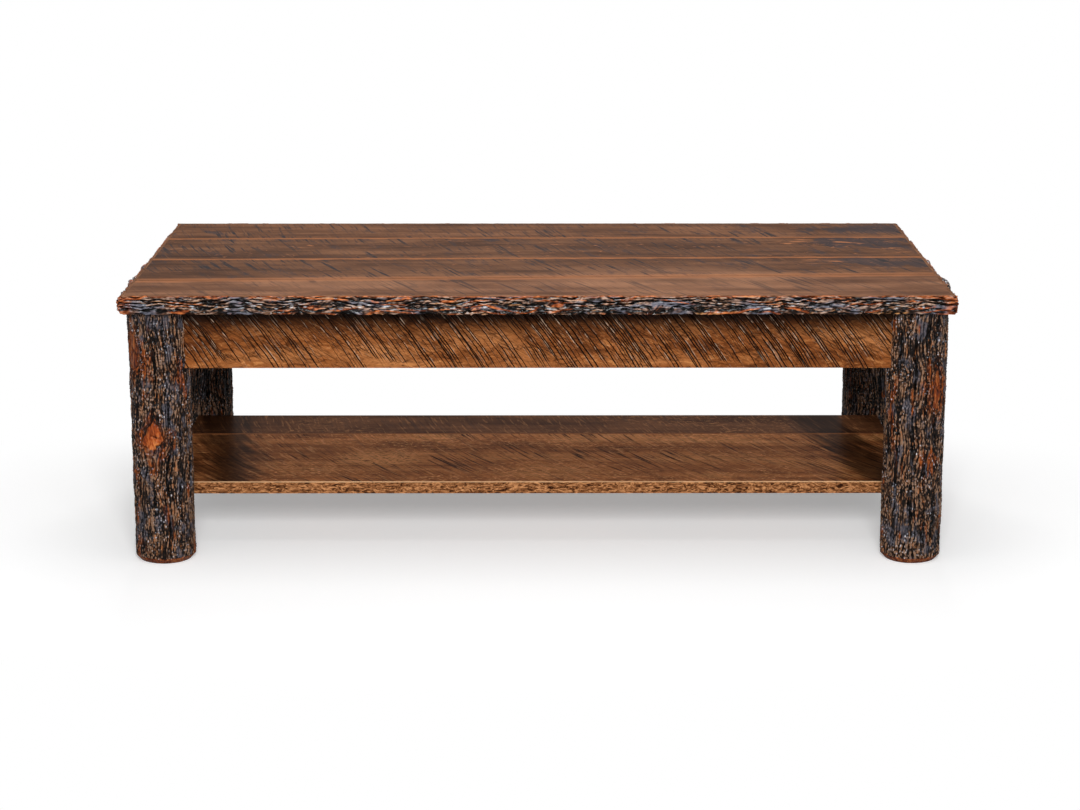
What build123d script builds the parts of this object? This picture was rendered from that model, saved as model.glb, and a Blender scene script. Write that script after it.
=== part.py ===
"""A rustic coffee table: four hickory logs with their bark on carry a frame of rough-sawn aprons, a top of
four tapered planks edged with bark, and a low shelf of two boards. Millimetres, +Z up, the front towards
-Y, the origin on the floor under the middle of the top."""

import math
import os
import random

from build123d import *

# ---------------------------------------------------------------- driving dimensions
# Overall
top_length = 1372.0  # end to end over the bark
top_depth = 712.0  # front to back over the bark
table_height = 462.0
top_thickness = 31.0

# Logs
leg_diameter = 102.0  # over the bark
leg_inset_x = 57.0  # from the top's outer edge to a log's axis, at each end
leg_inset_y = 72.0  # the same, at the front and back
foot_bevel_height = 8.0  # the bark is trimmed off the foot at a bevel
foot_bevel_width = 7.0

# The bark's main furrows: pointed cuts up and down a log, each column half a step above its neighbours
furrow_columns = 14
furrow_rows = 4
furrow_length = 92.0
furrow_width = 7.0
furrow_depth = 3.0
furrow_margin = 6.0  # clear of the foot's bevel, the log's top and whatever is joined to the log
furrow_scatter = 0.2  # how far lengths and places stray, as a share of a length or a step
furrow_lean = 5.0  # degrees from the upright, at most

# Top planks, from the back: each width is the mean one before the planks are trimmed alike to fill the top,
# and each slant is how much further back a seam lies at the right end than at the left, because they taper.
back_plank_width = 154.0
rear_middle_plank_width = 204.0
front_middle_plank_width = 177.0
front_plank_width = 151.0
back_seam_slant = 16.0
middle_seam_slant = 22.0
front_seam_slant = 56.0
plank_arris = 1.2  # eased top edge beside each seam

# Bark edging
bark_depth = 13.0  # at the bulge
bark_lip = 8.0  # at its top and bottom edges
bark_corner_radius = 8.0

# Aprons
apron_height = 100.0
apron_thickness = 25.0
apron_offset = 20.0  # an apron's outer face lies this far outside the line of the log axes
apron_tenon_thickness = 15.0
apron_tenon_height = 70.0

# Shelf
shelf_top_height = 116.5
shelf_thickness = 21.0
shelf_back_board_width = 140.0
shelf_end_overrun = 9.0  # the boards' ends lie this far outside the log axes
shelf_arris = 1.0
rail_thickness = 22.0
rail_height = 38.0
rail_tenon_thickness = 12.0
rail_tenon_height = 24.0

# Log joints, alike for aprons and rails
shoulder_inset = 38.0  # from a log's axis to the flat floor of the housing that a shoulder seats in
tenon_length = 30.0
tenon_end_gap = 1.0
joint_clearance = 0.2  # on each side of a tenon, a housing or a board between logs

# Cleats and battens
cleat_size = 22.0
cleat_end_gap = 22.0  # from a cleat's end to the log beside it
batten_width = 70.0
batten_thickness = 20.0
batten_count = 3
batten_end_inset = 229.0  # from the log axes to the outer battens' middles
batten_end_gap = 2.0
shelf_batten_width = 60.0
shelf_batten_thickness = 18.0
shelf_batten_count = 2
shelf_batten_end_inset = 399.0  # from the log axes to the outer battens' middles
shelf_batten_setback = 64.0  # from the shelf's long edges

# Dowels in the seams
top_dowel_radius = 5.0
top_dowel_length = 60.0
top_dowel_count = 4  # in each seam
top_dowel_end_inset = 153.0  # from the planks' ends
shelf_dowel_radius = 4.0
shelf_dowel_length = 50.0
shelf_dowel_count = 4
shelf_dowel_end_inset = 238.0  # from the boards' ends
dowel_clearance = 0.1
dowel_end_gap = 1.0

# Screws and nails
screw_shank_radius = 2.0
screw_head_radius = 4.0
countersink_angle = 82.0
screw_bite = 16.0  # thread in the second piece
apron_screw_bite = 18.0
shelf_screw_bite = 12.0
hole_clearance = 0.1
hole_end_gap = 0.5
recess_width = 1.0
recess_depth = 1.5
log_screw_shank_radius = 2.5
log_screw_head_radius = 5.0
log_screw_head_height = 3.0
log_screw_length = 50.0
log_screw_sink = 12.0  # from the log's side to the head's seat
apron_screw_spacing = 32.0  # between the two screws of one tenon
apron_screw_stagger = 8.0  # long aprons' screws up, short aprons' screws down, so that they pass
batten_screw_stagger = 18.0
shelf_batten_screw_stagger = 12.0
shelf_batten_screw_end_inset = 28.0  # from the batten's end
shelf_batten_screw_seam_inset = 40.0  # the middle screw, from the shelf's seam
rail_screw_count = 4
rail_screw_end_inset = 41.0  # from the rail's shoulders
cleat_screw_count = 4  # up into the top, and as many again into the apron
end_cleat_screw_count = 2
cleat_up_screw_end_inset = 56.0  # from the cleat's end
cleat_side_screw_end_inset = 216.0
end_cleat_up_screw_end_inset = 121.0
end_cleat_side_screw_end_inset = 66.0
nail_shank_radius = 0.9
nail_head_radius = 1.6
nail_head_height = 1.0
nail_length = 38.0
nail_sink = 0.5
front_nail_count = 7
nail_end_margin = 80.0  # from a long strip's end to its first nail

# ---------------------------------------------------------------- places that follow from them
top_underside = table_height - top_thickness
top_half_length = top_length / 2
top_half_depth = top_depth / 2
plank_half_length = top_half_length - bark_depth
plank_half_depth = top_half_depth - bark_depth
leg_radius = leg_diameter / 2
leg_x = top_half_length - leg_inset_x
leg_y = top_half_depth - leg_inset_y
apron_bottom = top_underside - apron_height
apron_middle = top_underside - apron_height / 2
apron_inner_offset = apron_offset - apron_thickness
apron_centre_offset = apron_offset - apron_thickness / 2
shelf_underside = shelf_top_height - shelf_thickness
shelf_half_length = leg_x + shelf_end_overrun
shelf_half_depth = leg_y - leg_radius - joint_clearance
shelf_seam = shelf_half_depth - shelf_back_board_width
rail_centre = shelf_half_length - rail_thickness / 2
rail_bottom = shelf_underside - rail_height
rail_middle = shelf_underside - rail_height / 2
top_middle = table_height - top_thickness / 2
shelf_middle = shelf_top_height - shelf_thickness / 2
tenon_middle_inset = shoulder_inset - tenon_length / 2
batten_half_length = leg_y + apron_inner_offset - cleat_size - batten_end_gap
cleat_half_length = leg_x - leg_radius - cleat_end_gap
end_cleat_half_length = leg_y - leg_radius - cleat_end_gap
rail_half_length = leg_y - shoulder_inset - joint_clearance  # between its shoulders
shelf_batten_half_length = shelf_half_depth - shelf_batten_setback

# Sections of boards and their tenons: thickness, bottom, top
apron_section = (apron_thickness, apron_bottom, top_underside)
apron_tenon_section = (
    apron_tenon_thickness,
    apron_middle - apron_tenon_height / 2,
    apron_middle + apron_tenon_height / 2,
)
rail_section = (rail_thickness, rail_bottom, shelf_underside)
rail_tenon_section = (
    rail_tenon_thickness,
    rail_middle - rail_tenon_height / 2,
    rail_middle + rail_tenon_height / 2,
)

# Planks, with the trim that makes them fill the top
untrimmed_depth = back_plank_width + rear_middle_plank_width + front_middle_plank_width + front_plank_width
plank_trim = 2 * plank_half_depth / untrimmed_depth
front_seam_y = front_plank_width * plank_trim - plank_half_depth
middle_seam_y = front_seam_y + front_middle_plank_width * plank_trim
back_seam_y = middle_seam_y + rear_middle_plank_width * plank_trim

# From the front: the mean place of each plank edge, and its slant from the left end to the right.
plank_edges = [
    (-plank_half_depth, 0.0),
    (front_seam_y, front_seam_slant),
    (middle_seam_y, middle_seam_slant),
    (back_seam_y, back_seam_slant),
    (plank_half_depth, 0.0),
]
plank_names = ["top_plank_front", "top_plank_front_middle", "top_plank_rear_middle", "top_plank_back"]
corners = [(sx, sy) for sy in (-1, 1) for sx in (-1, 1)]
sides = {-1: "left", 1: "right"}
faces = {-1: "front", 1: "back"}


# ---------------------------------------------------------------- helpers
def save(part, name):
    """Labels a finished piece and writes it as its own STEP file."""
    part.label = name
    export_step(part, f"parts/{name}.step")


def block(low, high, mode=Mode.ADD):
    """A box between two opposite corners, in the part that is being built."""
    size = [abs(b - a) for a, b in zip(low, high)]
    with Locations(tuple((a + b) / 2 for a, b in zip(low, high))):
        Box(*size, mode=mode)


def section_block(ends, middle, section, along_y, growth=0.0, mode=Mode.ADD):
    """A block between two ends along X or Y, with the section's sides moved out by the growth."""
    thickness, bottom, top = section
    half_width = thickness / 2 + growth
    low = (ends[0], middle - half_width, bottom - growth)
    high = (ends[1], middle + half_width, top + growth)
    if along_y:
        low, high = ((across, along, up) for along, across, up in (low, high))
    block(low, high, mode=mode)


def edge_place(edge, x):
    """How far back a plank edge lies at a given x."""
    mean, slant = edge
    return mean + slant * x / (2 * plank_half_length)


def spread(reach, count):
    """Evenly spaced places from one side of the middle to the other."""
    return [reach * (2 * n / (count - 1) - 1) for n in range(count)]


# ---------------------------------------------------------------- fasteners' places
# Each is a plane on the head's face, with its normal pointing out of the head.
def apron_screw_planes(sx, sy):
    """The log screws through the tenon of the long apron at one corner: in from the log's inner side."""
    x = sx * (leg_x - tenon_middle_inset)
    heights = [apron_middle + apron_screw_stagger + half for half in spread(apron_screw_spacing / 2, 2)]
    return [Plane((x, sy * (leg_y - leg_radius), z), z_dir=(0, -sy, 0)) for z in heights]


def end_apron_screw_planes(sx, sy):
    """The log screws through the tenon of the short apron at one corner."""
    y = sy * (leg_y - tenon_middle_inset)
    heights = [apron_middle - apron_screw_stagger + half for half in spread(apron_screw_spacing / 2, 2)]
    return [Plane((sx * (leg_x - leg_radius), y, z), z_dir=(-sx, 0, 0)) for z in heights]


def rail_screw_planes(sx, sy):
    """The log screw through the shelf rail's tenon at one corner."""
    y = sy * (leg_y - tenon_middle_inset)
    return [Plane((sx * (leg_x - leg_radius), y, rail_middle), z_dir=(-sx, 0, 0))]


def leg_screw_planes(sx, sy):
    """All the log screws of one corner."""
    return apron_screw_planes(sx, sy) + end_apron_screw_planes(sx, sy) + rail_screw_planes(sx, sy)


def cleat_up_planes(sy):
    """The screws that rise through a long cleat into the top."""
    y = sy * (leg_y + apron_inner_offset - cleat_size / 2)
    places = spread(cleat_half_length - cleat_up_screw_end_inset, cleat_screw_count)
    return [Plane((x, y, top_underside - cleat_size), z_dir=(0, 0, -1)) for x in places]


def cleat_side_planes(sy):
    """The screws that hold a long cleat to its apron."""
    y = sy * (leg_y + apron_inner_offset - cleat_size)
    places = spread(cleat_half_length - cleat_side_screw_end_inset, cleat_screw_count)
    return [Plane((x, y, top_underside - cleat_size / 2), z_dir=(0, -sy, 0)) for x in places]


def end_cleat_up_planes(sx):
    """The screws that rise through a short cleat into the top."""
    x = sx * (leg_x + apron_inner_offset - cleat_size / 2)
    places = spread(end_cleat_half_length - end_cleat_up_screw_end_inset, end_cleat_screw_count)
    return [Plane((x, y, top_underside - cleat_size), z_dir=(0, 0, -1)) for y in places]


def end_cleat_side_planes(sx):
    """The screws that hold a short cleat to its apron."""
    x = sx * (leg_x + apron_inner_offset - cleat_size)
    places = spread(end_cleat_half_length - end_cleat_side_screw_end_inset, end_cleat_screw_count)
    return [Plane((x, y, top_underside - cleat_size / 2), z_dir=(-sx, 0, 0)) for y in places]


def batten_screw_planes(batten_x, low_edge, high_edge):
    """The two screws that rise through a batten into the plank between two plank edges, each a quarter of
    the way in from an end of the stretch where the batten and the plank meet."""
    low = max(edge_place(low_edge, batten_x), -batten_half_length)
    high = min(edge_place(high_edge, batten_x), batten_half_length)
    z = top_underside - batten_thickness
    return [
        Plane(
            (batten_x + side * batten_screw_stagger, (low + high) / 2 + side * (high - low) / 4, z),
            z_dir=(0, 0, -1),
        )
        for side in sides
    ]


def shelf_batten_screw_planes(batten_x):
    """The screws that rise through a shelf batten into the boards, staggered about its middle."""
    reach = shelf_batten_half_length - shelf_batten_screw_end_inset
    places = [-reach, shelf_seam - shelf_batten_screw_seam_inset, reach]
    z = shelf_underside - shelf_batten_thickness
    return [
        Plane((batten_x + (-1) ** step * shelf_batten_screw_stagger, y, z), z_dir=(0, 0, -1))
        for step, y in enumerate(places)
    ]


def shelf_rail_screw_planes(sx):
    """The screws that rise through a shelf rail into the boards."""
    places = spread(rail_half_length - rail_screw_end_inset, rail_screw_count)
    return [Plane((sx * rail_centre, y, rail_bottom), z_dir=(0, 0, -1)) for y in places]


def long_nail_planes(sy):
    """The nails through the front or back bark strip."""
    places = spread(top_half_length - nail_end_margin, front_nail_count)
    return [Plane((x, sy * top_half_depth, top_middle), z_dir=(0, sy, 0)) for x in places]


def end_nail_planes(sx):
    """The nails through an end's bark strip, one into each plank."""
    end_places = [edge_place(edge, sx * plank_half_length) for edge in plank_edges]
    return [
        Plane((sx * top_half_length, (low + high) / 2, top_middle), z_dir=(sx, 0, 0))
        for low, high in zip(end_places, end_places[1:])
    ]


batten_places = spread(leg_x - batten_end_inset, batten_count)
shelf_batten_places = spread(leg_x - shelf_batten_end_inset, shelf_batten_count)
cleat_up_screw_length = cleat_size + screw_bite
cleat_side_screw_length = cleat_size + apron_screw_bite
batten_screw_length = batten_thickness + screw_bite
shelf_batten_screw_length = shelf_batten_thickness + shelf_screw_bite
shelf_rail_screw_length = rail_height + shelf_screw_bite


# ---------------------------------------------------------------- holes
def screw_holes(planes, length):
    """Countersunk holes for flat-headed screws, in the part that is being built."""
    with Locations(*planes):
        CounterSinkHole(
            radius=screw_shank_radius + hole_clearance,
            counter_sink_radius=screw_head_radius + hole_clearance,
            depth=length + hole_end_gap,
            counter_sink_angle=countersink_angle,
        )


def pilot_holes(planes, radius, length):
    """Blind holes for the far ends of screws or nails, in the part that is being built."""
    with Locations(*planes):
        Hole(radius=radius + hole_clearance, depth=length + hole_end_gap)


def log_screw_holes(planes):
    """Counterbored holes for the screws that lock the tenons, in the log that is being built."""
    with Locations(*planes):
        CounterBoreHole(
            radius=log_screw_shank_radius + hole_clearance,
            counter_bore_radius=log_screw_head_radius + hole_clearance,
            counter_bore_depth=log_screw_sink,
            depth=log_screw_sink + log_screw_length + hole_end_gap,
        )


def log_pilot_holes(planes):
    """The same screws' holes through a tenon."""
    pilot_holes(planes, log_screw_shank_radius, log_screw_sink + log_screw_length)


def nail_holes(planes):
    """Holes with a seat for the head, in the bark strip that is being built."""
    with Locations(*planes):
        CounterBoreHole(
            radius=nail_shank_radius + hole_clearance,
            counter_bore_radius=nail_head_radius + hole_clearance,
            counter_bore_depth=nail_sink + nail_head_height,
            depth=nail_sink + nail_length + hole_end_gap,
        )


def dowel_bores(places, radius, length):
    """Bores along Y for the dowels centred at the given places, in the board that is being built."""
    with Locations(*places):
        Cylinder(
            radius + dowel_clearance,
            length + 2 * dowel_end_gap,
            rotation=(90, 0, 0),
            mode=Mode.SUBTRACT,
        )


# ---------------------------------------------------------------- logs
def furrow_limits(sx, sy, outward):
    """The lowest and highest point of the furrows that face a given way. Where boards join the log, furrows
    keep to the stretch between the shelf and the aprons."""
    joint_reach = tenon_middle_inset + log_screw_head_radius + furrow_width
    faces_board = max(-sx * outward.X, -sy * outward.Y) > math.cos(math.asin(joint_reach / leg_radius))
    low, high = (shelf_top_height, apron_bottom) if faces_board else (foot_bevel_height, top_underside)
    return low + furrow_margin, high - furrow_margin


def furrow_places(sx, sy):
    """The furrows of one log: the plane of each one's floor, with its Y along the furrow, and its length."""
    chance = random.Random(2 * sx + sy)
    step = top_underside / furrow_rows
    places = []
    for column in range(furrow_columns):
        turn = (column + chance.uniform(-furrow_scatter, furrow_scatter)) / furrow_columns
        outward = Vector(1, 0, 0).rotate(Axis.Z, 360 * turn)
        low, high = furrow_limits(sx, sy, outward)
        for row in range(furrow_rows + 1):
            middle = step * (row + column % 2 / 2 + chance.uniform(-furrow_scatter, furrow_scatter))
            half_length = furrow_length * (1 + chance.uniform(-furrow_scatter, furrow_scatter)) / 2
            lean = chance.uniform(-furrow_lean, furrow_lean)
            bottom, top = max(middle - half_length, low), min(middle + half_length, high)
            if top - bottom > furrow_length / 2:
                axis_place = Vector(sx * leg_x, sy * leg_y, (bottom + top) / 2)
                floor = Plane(
                    axis_place + outward * (leg_radius - furrow_depth),
                    x_dir=outward.rotate(Axis.Z, 90),
                    z_dir=outward,
                )
                places.append((floor.rotated((0, 0, lean)), top - bottom))
    return places


def furrow_outline(length):
    """A furrow's floor, pointed at both ends and widest in the middle."""
    with BuildSketch() as outline:
        with BuildLine():
            ThreePointArc((0, -length / 2), (furrow_width / 2, 0), (0, length / 2))
            ThreePointArc((0, length / 2), (-furrow_width / 2, 0), (0, -length / 2))
        make_face()
    return outline.sketch


def log_joint(axis_place, side, middle, section, tenon_section, along_y):
    """A flat-bottomed housing and a mortise in the log that is being built. The log's axis and the side
    that it reaches out to are given along the joined board, and the board's middle across it."""
    log_side = side * (axis_place - leg_radius)
    shoulder = side * (axis_place - shoulder_inset)
    bottom = side * (axis_place - shoulder_inset + tenon_length + tenon_end_gap)
    section_block((log_side, shoulder), middle, section, along_y, joint_clearance, Mode.SUBTRACT)
    section_block((shoulder, bottom), middle, tenon_section, along_y, joint_clearance, Mode.SUBTRACT)


def make_leg(sx, sy):
    """One log with its bark on, housed and mortised for two aprons and a shelf rail."""
    with BuildPart() as leg:
        with BuildSketch():
            with Locations((sx * leg_x, sy * leg_y)):
                Circle(leg_radius)
        extrude(amount=top_underside)
        foot = leg.faces().sort_by(Axis.Z)[0]
        chamfer(foot.edges(), foot_bevel_width, foot_bevel_height, reference=foot)
        for floor, length in furrow_places(sx, sy):
            with BuildSketch(floor):
                add(furrow_outline(length))
        extrude(amount=2 * furrow_depth, mode=Mode.SUBTRACT)

        apron_y = sy * (leg_y + apron_centre_offset)
        apron_x = sx * (leg_x + apron_centre_offset)
        log_joint(leg_x, sx, apron_y, apron_section, apron_tenon_section, along_y=False)
        log_joint(leg_y, sy, apron_x, apron_section, apron_tenon_section, along_y=True)
        log_joint(leg_y, sy, sx * rail_centre, rail_section, rail_tenon_section, along_y=True)
        log_screw_holes(leg_screw_planes(sx, sy))
    return leg.part


# ---------------------------------------------------------------- aprons and rails
def tenoned_board(log_place, middle, section, tenon_section, along_y):
    """A board between two logs with a stub tenon at each end, in the part that is being built."""
    shoulder = log_place - shoulder_inset - joint_clearance
    tip = log_place - shoulder_inset + tenon_length
    section_block((-shoulder, shoulder), middle, section, along_y)
    section_block((-tip, tip), middle, tenon_section, along_y)


def make_apron(sy):
    """The front or back apron."""
    with BuildPart() as apron:
        tenoned_board(
            leg_x, sy * (leg_y + apron_centre_offset), apron_section, apron_tenon_section, along_y=False
        )
        for sx in sides:
            log_pilot_holes(apron_screw_planes(sx, sy))
        pilot_holes(cleat_side_planes(sy), screw_shank_radius, cleat_side_screw_length)
    return apron.part


def make_end_apron(sx):
    """The left or right apron."""
    with BuildPart() as apron:
        tenoned_board(
            leg_y, sx * (leg_x + apron_centre_offset), apron_section, apron_tenon_section, along_y=True
        )
        for sy in faces:
            log_pilot_holes(end_apron_screw_planes(sx, sy))
        pilot_holes(end_cleat_side_planes(sx), screw_shank_radius, cleat_side_screw_length)
    return apron.part


def make_rail(sx):
    """The rail between a front and a back log that an end of the shelf lies on."""
    with BuildPart() as rail:
        tenoned_board(leg_y, sx * rail_centre, rail_section, rail_tenon_section, along_y=True)
        for sy in faces:
            log_pilot_holes(rail_screw_planes(sx, sy))
        screw_holes(shelf_rail_screw_planes(sx), shelf_rail_screw_length)
    return rail.part


# ---------------------------------------------------------------- cleats and battens
def make_cleat(sy):
    """The strip along a long apron's inner face that the top is screwed down through."""
    outer = sy * (leg_y + apron_inner_offset)
    with BuildPart() as cleat:
        block(
            (-cleat_half_length, outer, top_underside - cleat_size),
            (cleat_half_length, outer - sy * cleat_size, top_underside),
        )
        screw_holes(cleat_up_planes(sy), cleat_up_screw_length)
        screw_holes(cleat_side_planes(sy), cleat_side_screw_length)
    return cleat.part


def make_end_cleat(sx):
    """The strip along a short apron's inner face."""
    outer = sx * (leg_x + apron_inner_offset)
    with BuildPart() as cleat:
        block(
            (outer, -end_cleat_half_length, top_underside - cleat_size),
            (outer - sx * cleat_size, end_cleat_half_length, top_underside),
        )
        screw_holes(end_cleat_up_planes(sx), cleat_up_screw_length)
        screw_holes(end_cleat_side_planes(sx), cleat_side_screw_length)
    return cleat.part


def make_batten(batten_x):
    """A batten across the planks, under the top, between the long cleats."""
    with BuildPart() as batten:
        block(
            (batten_x - batten_width / 2, -batten_half_length, top_underside - batten_thickness),
            (batten_x + batten_width / 2, batten_half_length, top_underside),
        )
        for low, high in zip(plank_edges, plank_edges[1:]):
            screw_holes(batten_screw_planes(batten_x, low, high), batten_screw_length)
    return batten.part


def make_shelf_batten(batten_x):
    """A batten under the shelf's boards, set back from their long edges."""
    bottom = shelf_underside - shelf_batten_thickness
    with BuildPart() as batten:
        block(
            (batten_x - shelf_batten_width / 2, -shelf_batten_half_length, bottom),
            (batten_x + shelf_batten_width / 2, shelf_batten_half_length, shelf_underside),
        )
        screw_holes(shelf_batten_screw_planes(batten_x), shelf_batten_screw_length)
    return batten.part


# ---------------------------------------------------------------- top
def top_dowel_places(edge):
    """The centres of the dowels along one seam of the top."""
    places = spread(plank_half_length - top_dowel_end_inset, top_dowel_count)
    return [(x, edge_place(edge, x), top_middle) for x in places]


def make_plank(index):
    """One tapered plank of the top, counted from the front."""
    low, high = plank_edges[index], plank_edges[index + 1]
    seams = [edge for edge in (low, high) if edge in plank_edges[1:-1]]
    outline = [
        (-plank_half_length, edge_place(low, -plank_half_length)),
        (plank_half_length, edge_place(low, plank_half_length)),
        (plank_half_length, edge_place(high, plank_half_length)),
        (-plank_half_length, edge_place(high, -plank_half_length)),
    ]
    with BuildPart() as plank:
        with BuildSketch(Plane.XY.offset(top_underside)):
            with BuildLine():
                Polyline(*outline, close=True)
            make_face()
        extrude(amount=top_thickness)
        long_edges = plank.faces().sort_by(Axis.Z)[-1].edges().sort_by(SortBy.LENGTH)[-2:]
        chamfer(long_edges, plank_arris)

        for edge in seams:
            dowel_bores(top_dowel_places(edge), top_dowel_radius, top_dowel_length)
        for batten_x in batten_places:
            pilot_holes(batten_screw_planes(batten_x, low, high), screw_shank_radius, batten_screw_length)
        for sx in sides:
            pilot_holes(end_cleat_up_planes(sx), screw_shank_radius, cleat_up_screw_length)
            pilot_holes(end_nail_planes(sx)[index : index + 1], nail_shank_radius, nail_sink + nail_length)
        for sy, outer in ((-1, 0), (1, len(plank_names) - 1)):
            if index == outer:
                pilot_holes(cleat_up_planes(sy), screw_shank_radius, cleat_up_screw_length)
                pilot_holes(long_nail_planes(sy), nail_shank_radius, nail_sink + nail_length)
    return plank.part


def bark_profile(side, inner):
    """The bark's section: a flat inner face at the given place and a bulging outer one."""
    lip = side * (inner + bark_lip)
    with BuildSketch() as profile:
        with BuildLine():
            Polyline(
                (lip, table_height),
                (side * inner, table_height),
                (side * inner, top_underside),
                (lip, top_underside),
            )
            ThreePointArc(
                (lip, top_underside), (side * (inner + bark_depth), top_middle), (lip, table_height)
            )
        make_face()
    return profile.sketch


def bark_plan(side, inner, half_length, turn):
    """A strip's plan between its two mitres, within the top's rounded corners. The inner face is at the
    given place along X and the strip lies along Y, before the turn about Z."""
    tip = inner + bark_depth
    half_tip = half_length + bark_depth
    with BuildSketch() as plan:
        with BuildLine():
            Polyline(
                (side * inner, half_length),
                (side * tip, half_tip),
                (side * tip, -half_tip),
                (side * inner, -half_length),
                close=True,
            )
        make_face()
        RectangleRounded(2 * tip, 2 * half_tip, bark_corner_radius, mode=Mode.INTERSECT)
    return plan.sketch.rotate(Axis.Z, turn)


def make_long_bark_edge(sy):
    """The bark strip along the front or back, mitred into the strips at the ends."""
    with BuildPart() as strip:
        with BuildSketch(Plane.YZ):
            add(bark_profile(sy, plank_half_depth))
        extrude(amount=top_half_length, both=True)
        with BuildSketch(Plane.XY.offset(top_underside)):
            add(bark_plan(sy, plank_half_depth, plank_half_length, 90))
        extrude(amount=top_thickness, mode=Mode.INTERSECT)
        nail_holes(long_nail_planes(sy))
    return strip.part


def make_end_bark_edge(sx):
    """The bark strip along the left or right end."""
    with BuildPart() as strip:
        with BuildSketch(Plane.XZ):
            add(bark_profile(sx, plank_half_length))
        extrude(amount=top_half_depth, both=True)
        with BuildSketch(Plane.XY.offset(top_underside)):
            add(bark_plan(sx, plank_half_length, plank_half_depth, 0))
        extrude(amount=top_thickness, mode=Mode.INTERSECT)
        nail_holes(end_nail_planes(sx))
    return strip.part


# ---------------------------------------------------------------- shelf
def shelf_dowel_places():
    """The centres of the dowels along the shelf's seam."""
    places = spread(shelf_half_length - shelf_dowel_end_inset, shelf_dowel_count)
    return [(x, shelf_seam, shelf_middle) for x in places]


def make_shelf_board(low, high):
    """One board of the shelf, between two places along Y."""
    with BuildPart() as board:
        block((-shelf_half_length, low, shelf_underside), (shelf_half_length, high, shelf_top_height))
        long_edges = board.faces().sort_by(Axis.Z)[-1].edges().filter_by(Axis.X)
        chamfer(long_edges, shelf_arris)
        dowel_bores(shelf_dowel_places(), shelf_dowel_radius, shelf_dowel_length)
        for batten_x in shelf_batten_places:
            pilot_holes(
                shelf_batten_screw_planes(batten_x), screw_shank_radius, shelf_batten_screw_length
            )
        for sx in sides:
            pilot_holes(shelf_rail_screw_planes(sx), screw_shank_radius, shelf_rail_screw_length)
    return board.part


# ---------------------------------------------------------------- dowels, screws and nails
def make_dowels(places, radius, length):
    """A group of dowels along Y, each its own solid."""
    with BuildPart() as dowels:
        with Locations(*places):
            Cylinder(radius, length, rotation=(90, 0, 0))
    return dowels.part


def cross_recess(face_height, arm):
    """A driver's cross in the head that is being built, sunk from a face at the given height."""
    with Locations((0, 0, face_height - recess_depth / 2)):
        Box(2 * arm, recess_width, recess_depth, mode=Mode.SUBTRACT)
        Box(recess_width, 2 * arm, recess_depth, mode=Mode.SUBTRACT)


def make_screw(length):
    """A flat-headed wood screw that hangs from its head's face at the origin."""
    cone = (screw_head_radius - screw_shank_radius) / math.tan(math.radians(countersink_angle / 2))
    point = 2 * screw_shank_radius
    with BuildPart() as screw:
        with BuildSketch(Plane.XZ):
            with BuildLine():
                Polyline(
                    (0, 0),
                    (screw_head_radius, 0),
                    (screw_shank_radius, -cone),
                    (screw_shank_radius, point - length),
                    (0, -length),
                    close=True,
                )
            make_face()
        revolve(axis=Axis.Z)
        cross_recess(0, screw_head_radius / 2)
    return screw.part


def make_log_screw():
    """A flange-headed screw, with the origin where its hole meets the log's side."""
    seat = -log_screw_sink
    face = seat + log_screw_head_height
    tip = seat - log_screw_length
    point = 2 * log_screw_shank_radius
    with BuildPart() as screw:
        with BuildSketch(Plane.XZ):
            with BuildLine():
                Polyline(
                    (0, face),
                    (log_screw_head_radius, face),
                    (log_screw_head_radius, seat),
                    (log_screw_shank_radius, seat),
                    (log_screw_shank_radius, tip + point),
                    (0, tip),
                    close=True,
                )
            make_face()
        revolve(axis=Axis.Z)
        cross_recess(face, log_screw_head_radius / 2)
    return screw.part


def make_nail():
    """A small-headed nail, with the origin at the bark's outermost point."""
    tip = -nail_sink - nail_length
    seat = -nail_sink - nail_head_height
    point = 2 * nail_shank_radius
    with BuildPart() as nail:
        with BuildSketch(Plane.XZ):
            with BuildLine():
                Polyline(
                    (0, -nail_sink),
                    (nail_head_radius, -nail_sink),
                    (nail_head_radius, seat),
                    (nail_shank_radius, seat),
                    (nail_shank_radius, tip + point),
                    (0, tip),
                    close=True,
                )
            make_face()
        revolve(axis=Axis.Z)
    return nail.part


def make_group(fastener, planes):
    """Copies of one fastener, each its own solid, at the given planes."""
    with BuildPart() as group:
        with Locations(*planes):
            add(fastener)
    return group.part


# ---------------------------------------------------------------- the whole table
os.makedirs("parts", exist_ok=True)

# Numbered pieces are counted from the left.
for sx, sy in corners:
    save(make_leg(sx, sy), f"leg_{faces[sy]}_{sides[sx]}")

for sy, name in faces.items():
    save(make_apron(sy), f"apron_{name}")
    save(make_cleat(sy), f"cleat_{name}")
    save(make_long_bark_edge(sy), f"bark_edge_{name}")

for sx, name in sides.items():
    save(make_end_apron(sx), f"apron_{name}")
    save(make_end_cleat(sx), f"cleat_{name}")
    save(make_end_bark_edge(sx), f"bark_edge_{name}")
    save(make_rail(sx), f"shelf_rail_{name}")

for index, name in enumerate(plank_names):
    save(make_plank(index), name)

for number, batten_x in enumerate(batten_places, start=1):
    save(make_batten(batten_x), f"top_batten_{number}")

save(make_shelf_board(-shelf_half_depth, shelf_seam), "shelf_board_front")
save(make_shelf_board(shelf_seam, shelf_half_depth), "shelf_board_back")
for number, batten_x in enumerate(shelf_batten_places, start=1):
    save(make_shelf_batten(batten_x), f"shelf_batten_{number}")

top_dowel_centres = [place for edge in plank_edges[1:-1] for place in top_dowel_places(edge)]
save(make_dowels(top_dowel_centres, top_dowel_radius, top_dowel_length), "top_dowels")
save(make_dowels(shelf_dowel_places(), shelf_dowel_radius, shelf_dowel_length), "shelf_dowels")

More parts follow.
